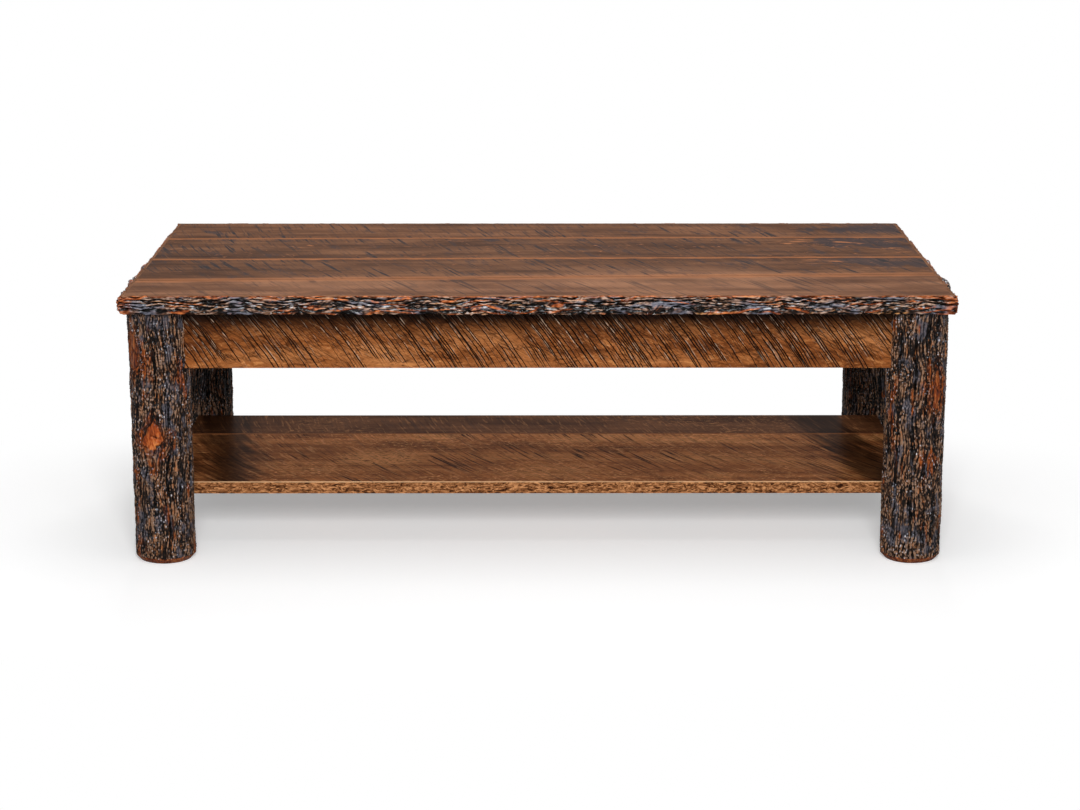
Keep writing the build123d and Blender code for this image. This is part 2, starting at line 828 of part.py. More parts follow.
# Each group of fasteners: its name, one of its kind, and its places.
fastener_groups = [
    (
        "tenon_screws",
        make_log_screw(),
        [plane for sx, sy in corners for plane in leg_screw_planes(sx, sy)],
    ),
    (
        "top_fixing_screws",
        make_screw(cleat_up_screw_length),
        [plane for sy in faces for plane in cleat_up_planes(sy)]
        + [plane for sx in sides for plane in end_cleat_up_planes(sx)],
    ),
    (
        "cleat_screws",
        make_screw(cleat_side_screw_length),
        [plane for sy in faces for plane in cleat_side_planes(sy)]
        + [plane for sx in sides for plane in end_cleat_side_planes(sx)],
    ),
    (
        "top_batten_screws",
        make_screw(batten_screw_length),
        [
            plane
            for batten_x in batten_places
            for low, high in zip(plank_edges, plank_edges[1:])
            for plane in batten_screw_planes(batten_x, low, high)
        ],
    ),
    (
        "shelf_batten_screws",
        make_screw(shelf_batten_screw_length),
        [plane for batten_x in shelf_batten_places for plane in shelf_batten_screw_planes(batten_x)],
    ),
    (
        "shelf_rail_screws",
        make_screw(shelf_rail_screw_length),
        [plane for sx in sides for plane in shelf_rail_screw_planes(sx)],
    ),
    (
        "bark_nails",
        make_nail(),
        [plane for sy in faces for plane in long_nail_planes(sy)]
        + [plane for sx in sides for plane in end_nail_planes(sx)],
    ),
]
for name, fastener, planes in fastener_groups:
    save(make_group(fastener, planes), name)
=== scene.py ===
"""Looks of the rustic table: bark with real relief on the logs and along the top's edges, saw kerfs cut into
the aprons, and procedural finishes for every board and fastener. Metres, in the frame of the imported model:
+Z up, the front towards -Y."""

import math

import bpy
import numpy as np
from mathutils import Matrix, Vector
from mathutils.bvhtree import BVHTree


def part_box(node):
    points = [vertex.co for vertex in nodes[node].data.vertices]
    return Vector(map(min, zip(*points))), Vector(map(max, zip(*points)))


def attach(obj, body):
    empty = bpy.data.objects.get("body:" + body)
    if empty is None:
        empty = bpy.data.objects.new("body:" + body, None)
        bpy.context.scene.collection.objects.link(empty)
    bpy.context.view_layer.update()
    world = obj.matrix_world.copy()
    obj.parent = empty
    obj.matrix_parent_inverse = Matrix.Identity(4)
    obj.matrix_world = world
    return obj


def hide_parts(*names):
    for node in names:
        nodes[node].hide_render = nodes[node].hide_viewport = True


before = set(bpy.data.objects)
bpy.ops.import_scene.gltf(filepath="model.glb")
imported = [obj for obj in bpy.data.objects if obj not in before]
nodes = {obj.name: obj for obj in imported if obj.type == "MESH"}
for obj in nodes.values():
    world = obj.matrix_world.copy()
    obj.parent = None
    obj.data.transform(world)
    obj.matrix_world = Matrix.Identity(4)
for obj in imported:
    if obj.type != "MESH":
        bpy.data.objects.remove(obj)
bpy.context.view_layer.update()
MM = 0.001
SIDES = ("front", "right", "back", "left")  # each a quarter turn on from the one before it


# ---------------------------------------------------------------- random fields
NOISE_CELLS = 256  # lattice cells before a field repeats


def fade(t):
    """Eases 0 to 1 with no slope at either end."""
    return t * t * t * (t * (t * 6 - 15) + 10)


def step(low, high, value):
    """0 below low and 1 above high, eased between them; low may be the higher number."""
    return fade(np.clip((value - low) / (high - low), 0, 1))


def noise(u, v, seed, wrap=NOISE_CELLS):
    """Gradient noise, about -1 to 1, one cell to a unit, repeating along u after wrap cells."""
    angles = np.random.default_rng(seed).uniform(0, 2 * np.pi, (wrap, NOISE_CELLS))
    cell_u, cell_v = np.floor(u).astype(int), np.floor(v).astype(int)
    in_u, in_v = u - cell_u, v - cell_v
    total = 0.0
    for a in (0, 1):
        for b in (0, 1):
            angle = angles[(cell_u + a) % wrap, (cell_v + b) % NOISE_CELLS]
            slope = np.cos(angle) * (in_u - a) + np.sin(angle) * (in_v - b)
            total = total + slope * fade(1 - abs(in_u - a)) * fade(1 - abs(in_v - b))
    return total * 1.5


def cloud(u, v, seed, wrap=NOISE_CELLS, octaves=3):
    """Noise with finer and fainter copies added."""
    return sum(noise(u * 2**n, v * 2**n, seed + n, wrap * 2**n) / 2**n for n in range(octaves))


def ridges(u, v, seed, wrap, sharpness):
    """Plates with a flat top at 1, split by grooves that fall to 0 where the noise changes sign."""
    return np.clip(abs(noise(u, v, seed, wrap)) * sharpness, 0, 1)


def beads(u, v, seed, wrap, size):
    """Round bumps in strings along v, one to a cell: 1 at a bump's top and 0 past its edge, and each bump's
    own random number."""
    chance = np.random.default_rng(seed).uniform(0, 1, (3, wrap, NOISE_CELLS))
    cell_u, cell_v = np.floor(u).astype(int), np.floor(v).astype(int)
    nearest = np.full(u.shape, 9.0)
    number = np.zeros(u.shape)
    for a in (-1, 0, 1):
        for b in (-1, 0, 1):
            key = (cell_u + a) % wrap, (cell_v + b) % NOISE_CELLS
            off_u = cell_u + a + 0.35 + 0.3 * chance[0][key] - u
            off_v = cell_v + b + 0.3 + 0.4 * chance[1][key] - v
            distance = off_u**2 + off_v**2
            number = np.where(distance < nearest, chance[2][key], number)
            nearest = np.minimum(nearest, distance)
    return np.clip(1 - nearest / size**2, 0, 1), number


def strands(u, v, seed, wrap, crown):
    """Strands that run along v, one to a unit of u: how high each point is, from 0 in the groove between two
    to 1 on a strand's crown, and a level of about -1 to 1 that wanders along each strand by itself."""
    cell = np.floor(u).astype(int)
    number = np.random.default_rng(seed).uniform(0, NOISE_CELLS, wrap)[cell % wrap]
    high = np.clip((1 - 2 * abs(u - cell - 0.5)) * crown, 0, 1)
    return high, noise(v, number, seed + 1)


def look_up(table, u, v):
    """The table's value between its samples: u runs round its first axis and v along its second, 0 to 1."""
    count_u, count_v = table.shape
    place_u, place_v = u % 1 * count_u, np.clip(v, 0, 1) * (count_v - 1)
    cell_u, cell_v = place_u.astype(int), np.minimum(place_v.astype(int), count_v - 2)
    in_u, in_v = place_u - cell_u, place_v - cell_v
    near, beyond = (
        table[around, cell_v] * (1 - in_v) + table[around, cell_v + 1] * in_v
        for around in (cell_u % count_u, (cell_u + 1) % count_u)
    )
    return near * (1 - in_u) + beyond * in_u


# ---------------------------------------------------------------- meshes
def new_object(name, data):
    added = bpy.data.objects.new(name, data)
    bpy.context.scene.collection.objects.link(added)
    return added


def add_field(mesh, key, values):
    """Gives a mesh a point attribute."""
    mesh.attributes.new(key, "FLOAT", "POINT").data.foreach_set("value", values.astype(np.float32))


def mesh_object(name, points, faces, fields):
    """A mesh object with a point attribute for each field."""
    mesh = bpy.data.meshes.new(name)
    mesh.from_pydata(points.tolist(), [], faces)
    for key, values in fields.items():
        add_field(mesh, key, values)
    return new_object(name, mesh)


def stand_in(piece, node, material):
    """Makes a piece take a CAD node's place."""
    piece.data.materials.clear()
    piece.data.materials.append(material)
    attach(piece, "root")
    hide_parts(node)


def tube_faces(rows, columns):
    """Quads round a closed tube of points[row, column], and a fan to a middle point at each end. The middle
    points of the first and last row come after the tube's own points."""
    index = np.arange(rows * columns).reshape(rows, columns)
    beside = np.roll(index, -1, axis=1)
    quads = np.stack([index[:-1], beside[:-1], beside[1:], index[1:]], axis=-1).reshape(-1, 4).tolist()
    first, last = rows * columns, rows * columns + 1
    fans = [[first, b, a] for a, b in zip(index[0].tolist(), beside[0].tolist())]
    fans += [[last, a, b] for a, b in zip(index[-1].tolist(), beside[-1].tolist())]
    return quads + fans


def tube_object(name, points, fields):
    """A closed tube with capped ends."""
    rows, columns, _ = points.shape
    ends = np.array([points[0].mean(axis=0), points[-1].mean(axis=0)])
    capped = {k: np.concatenate([f.ravel(), [f[0].mean(), f[-1].mean()]]) for k, f in fields.items()}
    return mesh_object(name, np.concatenate([points.reshape(-1, 3), ends]), tube_faces(rows, columns), capped)


def welded_copy(node):
    """A CAD node's shape as a closed mesh, for carving other pieces."""
    mesh = nodes[node].data.copy()
    mesh.materials.clear()
    copy = new_object("carver", mesh)
    weld = copy.modifiers.new("weld", "WELD")
    weld.merge_threshold = 1e-6
    return settle(copy)


def settle(piece):
    """Makes what a piece's modifiers do to it its own mesh."""
    graph = bpy.context.evaluated_depsgraph_get()
    settled = bpy.data.meshes.new_from_object(piece.evaluated_get(graph), depsgraph=graph)
    piece.modifiers.clear()
    old, piece.data = piece.data, settled
    bpy.data.meshes.remove(old)
    return piece


def carve(piece, carvers, operation="DIFFERENCE"):
    """Cuts a closed piece with closed carvers, which are used up."""
    for carver in carvers:
        cut = piece.modifiers.new("carve", "BOOLEAN")
        cut.solver = "MANIFOLD"
        cut.operation = operation
        cut.object = carver
    settle(piece)
    for carver in carvers:
        bpy.data.objects.remove(carver)


def shade_smooth(piece, sharp_degrees):
    """Smooth shading, except over edges sharper than an angle."""
    piece.data.polygons.foreach_set("use_smooth", [True] * len(piece.data.polygons))
    piece.data.set_sharp_from_angle(angle=math.radians(sharp_degrees))


def turned(x, y, z, side):
    """Points laid out for the front, turned to one of the table's sides."""
    cos, sin = ((1, 0), (0, 1), (-1, 0), (0, -1))[SIDES.index(side)]
    return np.stack([x * cos - y * sin, x * sin + y * cos, z], axis=-1)


# ---------------------------------------------------------------- shader building
def tone(red, green, blue):
    """A colour given as display values of 0 to 255."""
    shares = (red / 255, green / 255, blue / 255)
    return tuple(((c + 0.055) / 1.055) ** 2.4 if c > 0.04045 else c / 12.92 for c in shares)


def grey(level):
    return (level, level, level)


class Shader:
    """A node tree whose nodes are added one call at a time, each call giving back the node's first output."""

    def __init__(self, owner):
        owner.use_nodes = True
        self.owner = owner
        self.tree = owner.node_tree
        self.tree.nodes.clear()

    def plug(self, value, socket):
        """Links an output to the socket, or sets the socket's own value."""
        if isinstance(value, bpy.types.NodeSocket):
            self.tree.links.new(value, socket)
        elif socket.type == "RGBA":
            socket.default_value = (*value, 1)
        else:
            socket.default_value = value

    def add(self, kind, sockets=None, **settings):
        node = self.tree.nodes.new("ShaderNode" + kind)
        for key, value in settings.items():
            setattr(node, key, value)
        for key, value in (sockets or {}).items():
            self.plug(value, node.inputs[key])
        return node.outputs[0] if node.outputs else None

    def field(self, name):
        """A point attribute of the mesh."""
        return self.add("Attribute", attribute_name=name).node.outputs["Fac"]

    def place(self):
        return self.add("TexCoord").node.outputs["Object"]

    def axes(self, vector):
        return list(self.add("SeparateXYZ", {0: vector}).node.outputs)

    def join(self, x, y, z=0.0):
        return self.add("CombineXYZ", {0: x, 1: y, 2: z})

    def math(self, operation, a, b=0.0, c=0.0):
        return self.add("Math", {0: a, 1: b, 2: c}, operation=operation)

    def times(self, a, b):
        return self.math("MULTIPLY", a, b)

    def plus(self, a, b):
        return self.math("ADD", a, b)

    def scaled(self, value, by, plus=0.0):
        return self.math("MULTIPLY_ADD", value, by, plus)

    def stretch(self, vector, scale, shift=(0, 0, 0)):
        return self.add("VectorMath", {0: vector, 1: scale, 2: shift}, operation="MULTIPLY_ADD")

    def noise(self, vector, scale=1.0, detail=3.0, roughness=0.5, distortion=0.0):
        sockets = {"Vector": vector, "Scale": scale, "Detail": detail}
        sockets.update({"Roughness": roughness, "Distortion": distortion})
        return self.add("TexNoise", sockets)

    def ramp(self, value, *stops):
        """A colour ramp; each stop is (place, colour)."""
        output = self.add("ValToRGB", {"Fac": value})
        elements = output.node.color_ramp.elements
        while len(elements) < len(stops):
            elements.new(0.5)
        for element, (place, colour) in zip(elements, stops):
            element.position = place
            element.color = (*colour, 1)
        return output

    def between(self, value, low, high):
        """0 at low and 1 at high, eased; low may be the higher number."""
        sockets = {"Value": value, "From Min": low, "From Max": high}
        return self.add("MapRange", sockets, interpolation_type="SMOOTHSTEP")

    def mix(self, factor, a, b, blend="MIX"):
        """Colour a at factor 0 and b at factor 1."""
        node = self.add("Mix", {0: factor}, data_type="RGBA", blend_type=blend).node
        self.plug(a, node.inputs[6])
        self.plug(b, node.inputs[7])
        return node.outputs[2]

    def bump(self, height, distance, strength):
        return self.add("Bump", {"Height": height, "Distance": distance, "Strength": strength})

    def surface(self, shader):
        self.add("OutputMaterial", {"Surface": shader})
        return self.owner


# ---------------------------------------------------------------- sawn wood
STAIN_GREY = tone(50, 46, 48)
# a grey stain whose blue tint is a painted sheen
GREY_STAIN_AND_SHEEN = tone(56, 54, 60)
WORN_ORANGE = tone(192, 122, 76)
CRACK = tone(36, 20, 12)


class Wood(Shader):
    """Rough-sawn, stained wood, painted on layer by layer. The grain runs along X or Y, and the saw's arcs
    cross it with the given lean and curve: across the board or, with marks_up, up its sides."""

    def __init__(self, name, shades, shift, lean, curve=0.5, grain_axis="X", marks_up=False):
        super().__init__(bpy.data.materials.new(name))
        self.x, self.y, self.z = self.axes(self.place())
        self.along, across = (self.x, self.y) if grain_axis == "X" else (self.y, self.x)
        self.side = self.z if marks_up else across
        self.phase = self.plus(self.along, self.times(self.side, self.scaled(self.side, curve, lean)))
        self.shift = shift
        spot = self.stretch(self.join(self.along, across, self.z), (1, 1, 1), shift)
        sway = self.noise(self.stretch(spot, (3, 9, 9)), detail=2)
        self.grain = self.stretch(sway, (0, 0.03, 0.03), spot)
        self.shades = shades
        self.fibres = self.figure((30, 480, 480), detail=3, roughness=0.65)
        self.patches = self.figure((5, 14, 14), (3, 0, 0), detail=3, roughness=0.6)
        bands = self.figure((2.2, 26, 26), detail=4, roughness=0.6, distortion=0.8)
        level = self.plus(self.times(bands, 0.5), self.times(self.patches, 0.5))
        self.colour = self.ramp(level, *zip((0.36, 0.5, 0.64), shades))
        fibre_shades = self.ramp(self.fibres, (0.3, grey(0.7)), (0.52, grey(1.0)), (0.75, grey(1.16)))
        self.colour = self.mix(0.8, self.colour, fibre_shades, "MULTIPLY")
        self.height = self.times(self.fibres, 0.5)

    def figure(self, scale, shift=(0, 0, 0), **settings):
        """Noise drawn out along the grain."""
        return self.noise(self.stretch(self.grain, scale, shift), **settings)

    def paint(self, mask, colour, raised=0.0):
        """Lays a colour on by a mask of 0 to 1, and raises or sinks the surface there."""
        self.colour = self.mix(mask, self.colour, colour)
        if raised:
            self.height = self.plus(self.height, self.times(mask, raised))

    def near(self, spots):
        """1 in the middle of the spots, each (centre, reach), falling to 0 at their edges."""
        nearest = None
        for centre, reach in spots:
            away = [self.scaled(axis, 1 / r, -c / r) for axis, c, r in zip((self.x, self.y), centre, reach)]
            far = self.math("SQRT", self.plus(self.times(away[0], away[0]), self.times(away[1], away[1])))
            level = self.math("MAXIMUM", self.scaled(far, -1.0, 1.0), 0.0)
            nearest = level if nearest is None else self.math("MAXIMUM", nearest, level)
        return nearest

    def arcs(self, seed, per_metre, length, low, high, wander=0.4):
        """Lines of about the given length along the saw's arcs. They fade in between the noise levels low and
        high."""
        across, along = self.scaled(self.phase, per_metre), self.scaled(self.side, 1 / length)
        vector = self.join(across, along, self.shift[0] + seed)
        return self.between(self.noise(vector, detail=2, roughness=0.55, distortion=wander), low, high)

    def strokes(self, strength, where=None):
        """The saw's dark strokes: long ones where the board lay uneven, and fine ones all over."""
        shown = self.between(self.patches, 0.4, 0.58)
        if where:
            shown = self.math("MAXIMUM", shown, self.between(self.near(where), 0.0, 0.4))
        coarse = self.times(self.arcs(0, 110, 0.16, 0.57, 0.66), self.scaled(shown, 0.8, 0.2))
        fine = self.times(self.arcs(9, 230, 0.07, 0.54, 0.68), self.scaled(shown, 0.35, 0.25))
        self.paint(self.times(self.math("MAXIMUM", coarse, fine), strength), STAIN_GREY, -0.8)
        self.paint(self.times(self.arcs(5, 160, 0.09, 0.6, 0.72), 0.35 * strength), self.shades[2], 0.4)

    def stain(self, strength, colour, spots=()):
        """Stain that has crept along the saw's arcs, mostly in the spots."""
        vector = self.join(self.scaled(self.phase, 22), self.scaled(self.side, 9), self.shift[0] + 2)
        level = self.noise(vector, detail=6, roughness=0.74, distortion=0.3)
        if spots:
            level = self.plus(level, self.times(self.near(spots), 0.3))
        self.paint(self.times(self.between(level, 0.53, 0.68), strength), colour)

    def flecks(self, strength):
        """Small bright marks where fibres have torn out."""
        marks = self.figure((40, 120, 120), (1, 5, 0), detail=2, distortion=1.2)
        self.paint(self.times(self.between(marks, 0.66, 0.72), strength), WORN_ORANGE, 0.6)

    def seams(self, lines):
        """Stain worn off beside the seams, each (place, slope, half width, strength)."""
        waves = self.noise(self.join(self.scaled(self.x, 22), self.scaled(self.y, 40)), detail=3)
        for place, slope, half_width, strength in lines:
            line = self.math("MULTIPLY_ADD", self.x, -slope, self.plus(self.y, -place))
            wavy = self.plus(line, self.scaled(waves, 1.1 * half_width, -0.55 * half_width))
            worn = self.between(self.math("ABSOLUTE", wavy), half_width, 0.3 * half_width)
            self.paint(self.times(worn, self.scaled(waves, 1.2 * strength, 0.2 * strength)), WORN_ORANGE, 0.4)
            crack = self.between(self.math("ABSOLUTE", line), 0.0017, 0.0008)
            self.paint(self.times(crack, 0.75), CRACK)

    def finish(self, gloss, roughness=0.3, bump=0.7):
        sockets = {
            "Base Color": self.colour,
            "Roughness": 0.75,
            "Specular IOR Level": 0.0,
            "Normal": self.bump(self.height, bump * MM, 0.9),
            "Coat Weight": gloss,
            "Coat Roughness": roughness,
        }
        return self.surface(self.add("BsdfPrincipled", sockets))


def dress(name, material):
    """Gives a CAD node its finish."""
    mesh = nodes[name].data
    mesh.materials.clear()
    mesh.materials.append(material)


# ---------------------------------------------------------------- bark
BARK_COAT = 0.2  # weight of the clear lacquer on bark
LIP_COAT = 0.02  # and on the edging's smooth lips


def along_strip(shader):
    """Places on an edging strip, worked out round its section and along it. Along the strip they lie closer,
    because its strands are longer than a log's."""
    return shader.join(shader.field("round"), 0.0, shader.times(shader.field("run"), 0.5))


def blisters(shader, place, share):
    """Blobs of lacquer on the bark: how high each point of one is, and painted highlights on the tops of
    some.
    """
    cell = shader.add("TexVoronoi", {"Vector": shader.stretch(place, (290, 290, 150)), "Scale": 1.0}).node
    distance, chance = cell.outputs["Distance"], shader.axes(cell.outputs["Color"])[0]
    height = shader.between(distance, 0.75, 0.05)
    chosen = shader.between(chance, 1 - share, 1.0)
    return height, shader.times(shader.between(distance, 0.3, 0.18), chosen)


def bare_wood(shader, place, patch, relief, shades):
    """The colour of the wood where its bark is gone, darker in the hollows by painted shade."""
    veins = shader.noise(shader.stretch(place, (260, 260, 60)), detail=3, roughness=0.6, distortion=0.6)
    veins = shader.plus(shader.times(veins, 0.6), shader.times(patch, 0.4))
    wood = shader.ramp(veins, *zip((0.38, 0.5, 0.62), shades))
    return shader.mix(0.85, wood, shader.ramp(relief, (0.0, grey(0.12)), (0.55, grey(1.0))), "MULTIPLY")


def bark_material(
    name, places, shades, cool, tan, rust_shades, bare_shades, painted_glint, painted_glint_share, matt_lips=False
):
    """Lacquered bark, whose strands run along the third axis of its places. It reads four fields of the mesh:
    relief, rust, bare wood and painted glints. With matt lips it also reads how matt it is. The shades run
    from the floor of a furrow to the top of a ridge, partly the bark's own colour and partly painted shade in
    the furrows. Painted highlights lie on blisters and beads, and a blue-grey, partly painted sheen, on ridge
    tops."""
    shader = Shader(bpy.data.materials.new(name))
    place = places(shader)
    relief, rust, bare, pale = (shader.field(key) for key in ("relief", "rust", "bare", "painted_glint"))
    strands = shader.noise(shader.stretch(place, (430, 430, 50)), detail=3, roughness=0.6, distortion=0.5)
    patch = shader.noise(shader.stretch(place, (55, 55, 28)), detail=3, roughness=0.6)
    blobs, flecks = blisters(shader, place, painted_glint_share)
    beaded = shader.between(shader.noise(shader.stretch(place, (42, 42, 24), (5, 3, 1)), detail=2), 0.42, 0.6)
    height = shader.plus(relief, shader.scaled(strands, 1.3, -0.64))
    blobbed = shader.times(shader.scaled(beaded, 0.65, 0.35), shader.scaled(blobs, 0.8, -0.36))
    height = shader.plus(height, blobbed)

    # Darker into the furrows and cracks: partly the bark's own colour, partly painted shade.
    colour = shader.ramp(height, *zip((0.24, 0.54, 0.77, 1.0), shades))
    # Blue-grey on the ridge tops: partly the bark's grey plates, partly a painted sheen of its lacquer.
    high = shader.between(height, 0.3, 0.8)
    cool_plates_and_sheen = shader.times(shader.between(patch, 0.52, 0.62), high)
    colour = shader.mix(shader.times(cool_plates_and_sheen, 0.75), colour, cool)
    tanned = shader.times(shader.between(patch, 0.5, 0.4), shader.between(strands, 0.54, 0.66))
    colour = shader.mix(shader.times(tanned, shader.times(high, 0.7)), colour, tan)
    colour = shader.mix(rust, colour, shader.ramp(height, *zip((0.1, 0.55, 1.0), rust_shades)))
    colour = shader.mix(bare, colour, bare_wood(shader, place, patch, relief, bare_shades))
    # painted highlights: pale glints on blister tops and along the strands
    on_ridge = shader.between(relief, 0.35, 0.85)
    shown = shader.times(shader.times(flecks, on_ridge), shader.scaled(bare, -0.9, 1.0))
    shown = shader.times(shown, shader.scaled(beaded, 0.75, 0.12))
    shown = shader.math("MAXIMUM", shown, shader.times(pale, shader.between(strands, 0.42, 0.56)))
    colour = shader.mix(shown, colour, painted_glint)

    normal = shader.bump(shader.plus(shader.times(strands, 0.8), blobs), 1.1 * MM, 0.8)
    coat = BARK_COAT
    if matt_lips:
        coat = shader.scaled(shader.field("matt"), LIP_COAT - BARK_COAT, BARK_COAT)
    sockets = {
        "Base Color": colour,
        "Roughness": 0.7,
        "Specular IOR Level": 0.0,
        "Normal": normal,
        "Coat Weight": coat,
        "Coat Roughness": 0.12,
        "Coat Normal": normal,
    }
    return shader.surface(shader.add("BsdfPrincipled", sockets))


# The logs
LOG_ROWS = 322
LOG_COLUMNS = 300
FOOT_BEVEL = (8 * MM, 7 * MM)  # height and width
FURROW_STEP = 2 * MM  # between samples of the solid log's furrows
DEEPEST_FURROW = 6 * MM  # deeper places in the solid log are its joints
BARK_SHARP = 60  # degrees; sharper edges keep their edge
BARK_INSET = 0.9 * MM  # how far the bark's crowns lie inside the solid log
SHADE_DEPTH = 3.9 * MM  # from the palest crowns to the darkest cracks; the darkening over it is partly the bark's own colour and partly painted shade
RUST_MARGIN = 30 * MM  # how far rust spreads round a scar
BORE_RADIUS = 5.1 * MM
BORE_DEPTH = 12 * MM
BORE_OFFSET = 23 * MM  # from the log's axis, towards the table's middle
APRON_BORES = (373 * MM, 405 * MM)
END_APRON_BORES = (357 * MM, 389 * MM)
RAIL_BORE = 76.5 * MM


def furrow_depths(name, axis, radius, height):
    """How deep the solid log's own furrows are, in a table that runs round it and up it."""
    tree = BVHTree.FromObject(nodes[name], bpy.context.evaluated_depsgraph_get())
    count_turns = round(2 * math.pi * radius / FURROW_STEP)
    levels = np.linspace(FURROW_STEP, height - FURROW_STEP, round(height / FURROW_STEP))
    table = np.zeros((count_turns, len(levels)))
    for i in range(count_turns):
        angle = 2 * math.pi * i / count_turns
        outward = Vector((math.sin(angle), -math.cos(angle), 0))
        start = axis + outward * 2 * radius
        for j, level in enumerate(levels):
            distance = tree.ray_cast(start + Vector((0, 0, level)), -outward)[3]
            table[i, j] = distance - radius
    table[:, levels < 1.5 * FOOT_BEVEL[0]] = 0
    return np.where(table > DEEPEST_FURROW, 0, table)


def log_carvers(name, axis, radius):
    """Copies of what is joined to a log, and its screws' counterbores. What they cut is bare."""
    _, face, side = name.split("_")
    inward = Vector((-math.copysign(1, axis.x), -math.copysign(1, axis.y), 0))
    bores = [(BORE_OFFSET, radius, level, (math.pi / 2, 0, 0)) for level in APRON_BORES]
    bores += [(radius, BORE_OFFSET, level, (0, math.pi / 2, 0)) for level in (*END_APRON_BORES, RAIL_BORE)]
    carvers = [welded_copy(node) for node in (f"apron_{face}", f"apron_{side}", f"shelf_rail_{side}")]
    for x, y, level, turn in bores:
        mouth = axis + Vector((inward.x * x, inward.y * y, level))
        bpy.ops.mesh.primitive_cylinder_add(
            vertices=32, radius=BORE_RADIUS, depth=2 * BORE_DEPTH, location=mouth, rotation=turn
        )
        carvers.append(bpy.context.object)
    for carver in carvers:
        for key, level in (("relief", 0.6), ("bare", 1.0)):
            add_field(carver.data, key, np.full(len(carver.data.vertices), level))
    return carvers


def scar_fields(turns, heights, girth, scars, seed):
    """What scars do to a log: where its ridges run, since they part round a scar as water parts round a post,
    how bare and how rusty it is, its cracks, and the dishes in it. Each scar is (degrees round from the front
    towards the right, height, half width, half height, how many millimetres deep)."""
    bent = turns.copy()
    bare, halo, crack, dish = (np.zeros_like(turns) for _ in range(4))
    for degrees, scar_height, half_width, half_height, scar_depth in scars:
        above = (heights - scar_height) / half_height
        taper = 1 - 0.35 * np.clip(above, -1, 1)
        aside = ((turns - degrees / 360 + 0.5) % 1 - 0.5) * girth / half_width / taper
        far = np.hypot(aside, above) + 0.32 * cloud(turns * 14, heights / 0.022, seed + 31, 14)
        bent -= aside * half_width / girth / np.maximum(far, 1) ** 2.2 * 0.9
        bare = np.maximum(bare, step(1.05, 0.85, far))
        diamond = abs(aside) / (1 + RUST_MARGIN / half_width) + abs(above) / (1 + RUST_MARGIN / half_height)
        ragged = 0.35 * cloud(turns * 30, heights / 0.02, seed + 33, 30)
        halo = np.maximum(halo, step(1.1, 0.6, diamond + ragged))
        crack += np.exp(-(((above + 0.3 * aside) / 0.1) ** 2) - ((aside - 0.1) / 0.55) ** 2)
        dish += (scar_depth + np.clip(far, 0, 1) ** 3) * (far < 1.05)
    return bent, bare, halo, crack, dish


def furrowed_bark(turns, heights, bent, furrows, seed):
    """A log's bark: how deep it lies, how much of that is broad furrow, each strand's level, and where beads
    glint. The main furrows are the solid log's; plates, cracks and beads lie between them."""
    wander = noise(turns * 6, heights / 0.09, seed, 6)
    wander = wander + 0.4 * noise(turns * 18, heights / 0.035, seed + 8, 18)
    main = look_up(furrows, bent + 0.008 * wander, heights / heights.max())
    crowns, tint = strands(bent * 56 + 1.5 * wander, heights / 0.06, seed + 1, 56, 2.1)
    smooth = step(0.3, 0.7, noise(turns * 26, heights / 0.035, seed + 4, 26))
    crowns = np.maximum(crowns, 0.85 * smooth)
    plates = ridges(bent * 26 + wander, heights / 0.055, seed + 2, 26, 5.0)
    clusters = step(-0.3, 0.3, noise(turns * 12, heights / 0.05, seed + 6, 12))
    bumps, number = beads(bent * 72 + 1.9 * wander, heights / (4.4 * MM), seed + 7, 72, 0.5)
    bumps *= clusters * step(0.25, 0.4, number)
    flakes = cloud(bent * 90, heights / 0.006, seed + 3, 90, octaves=2)
    depth = 0.75 * main + 1.9 * MM * (1 - crowns) + 1.8 * MM * (1 - plates) - 0.5 * MM * tint
    depth -= 1.1 * MM * bumps + 0.5 * MM * flakes
    rise = np.gradient(depth, axis=0) / MM
    glint = step(0.25, 0.7, rise) * step(0.2, 0.6, bumps) * step(0.6, 0.95, number)
    return depth, 0.32 * main + 0.8 * MM * (1 - plates), tint, glint


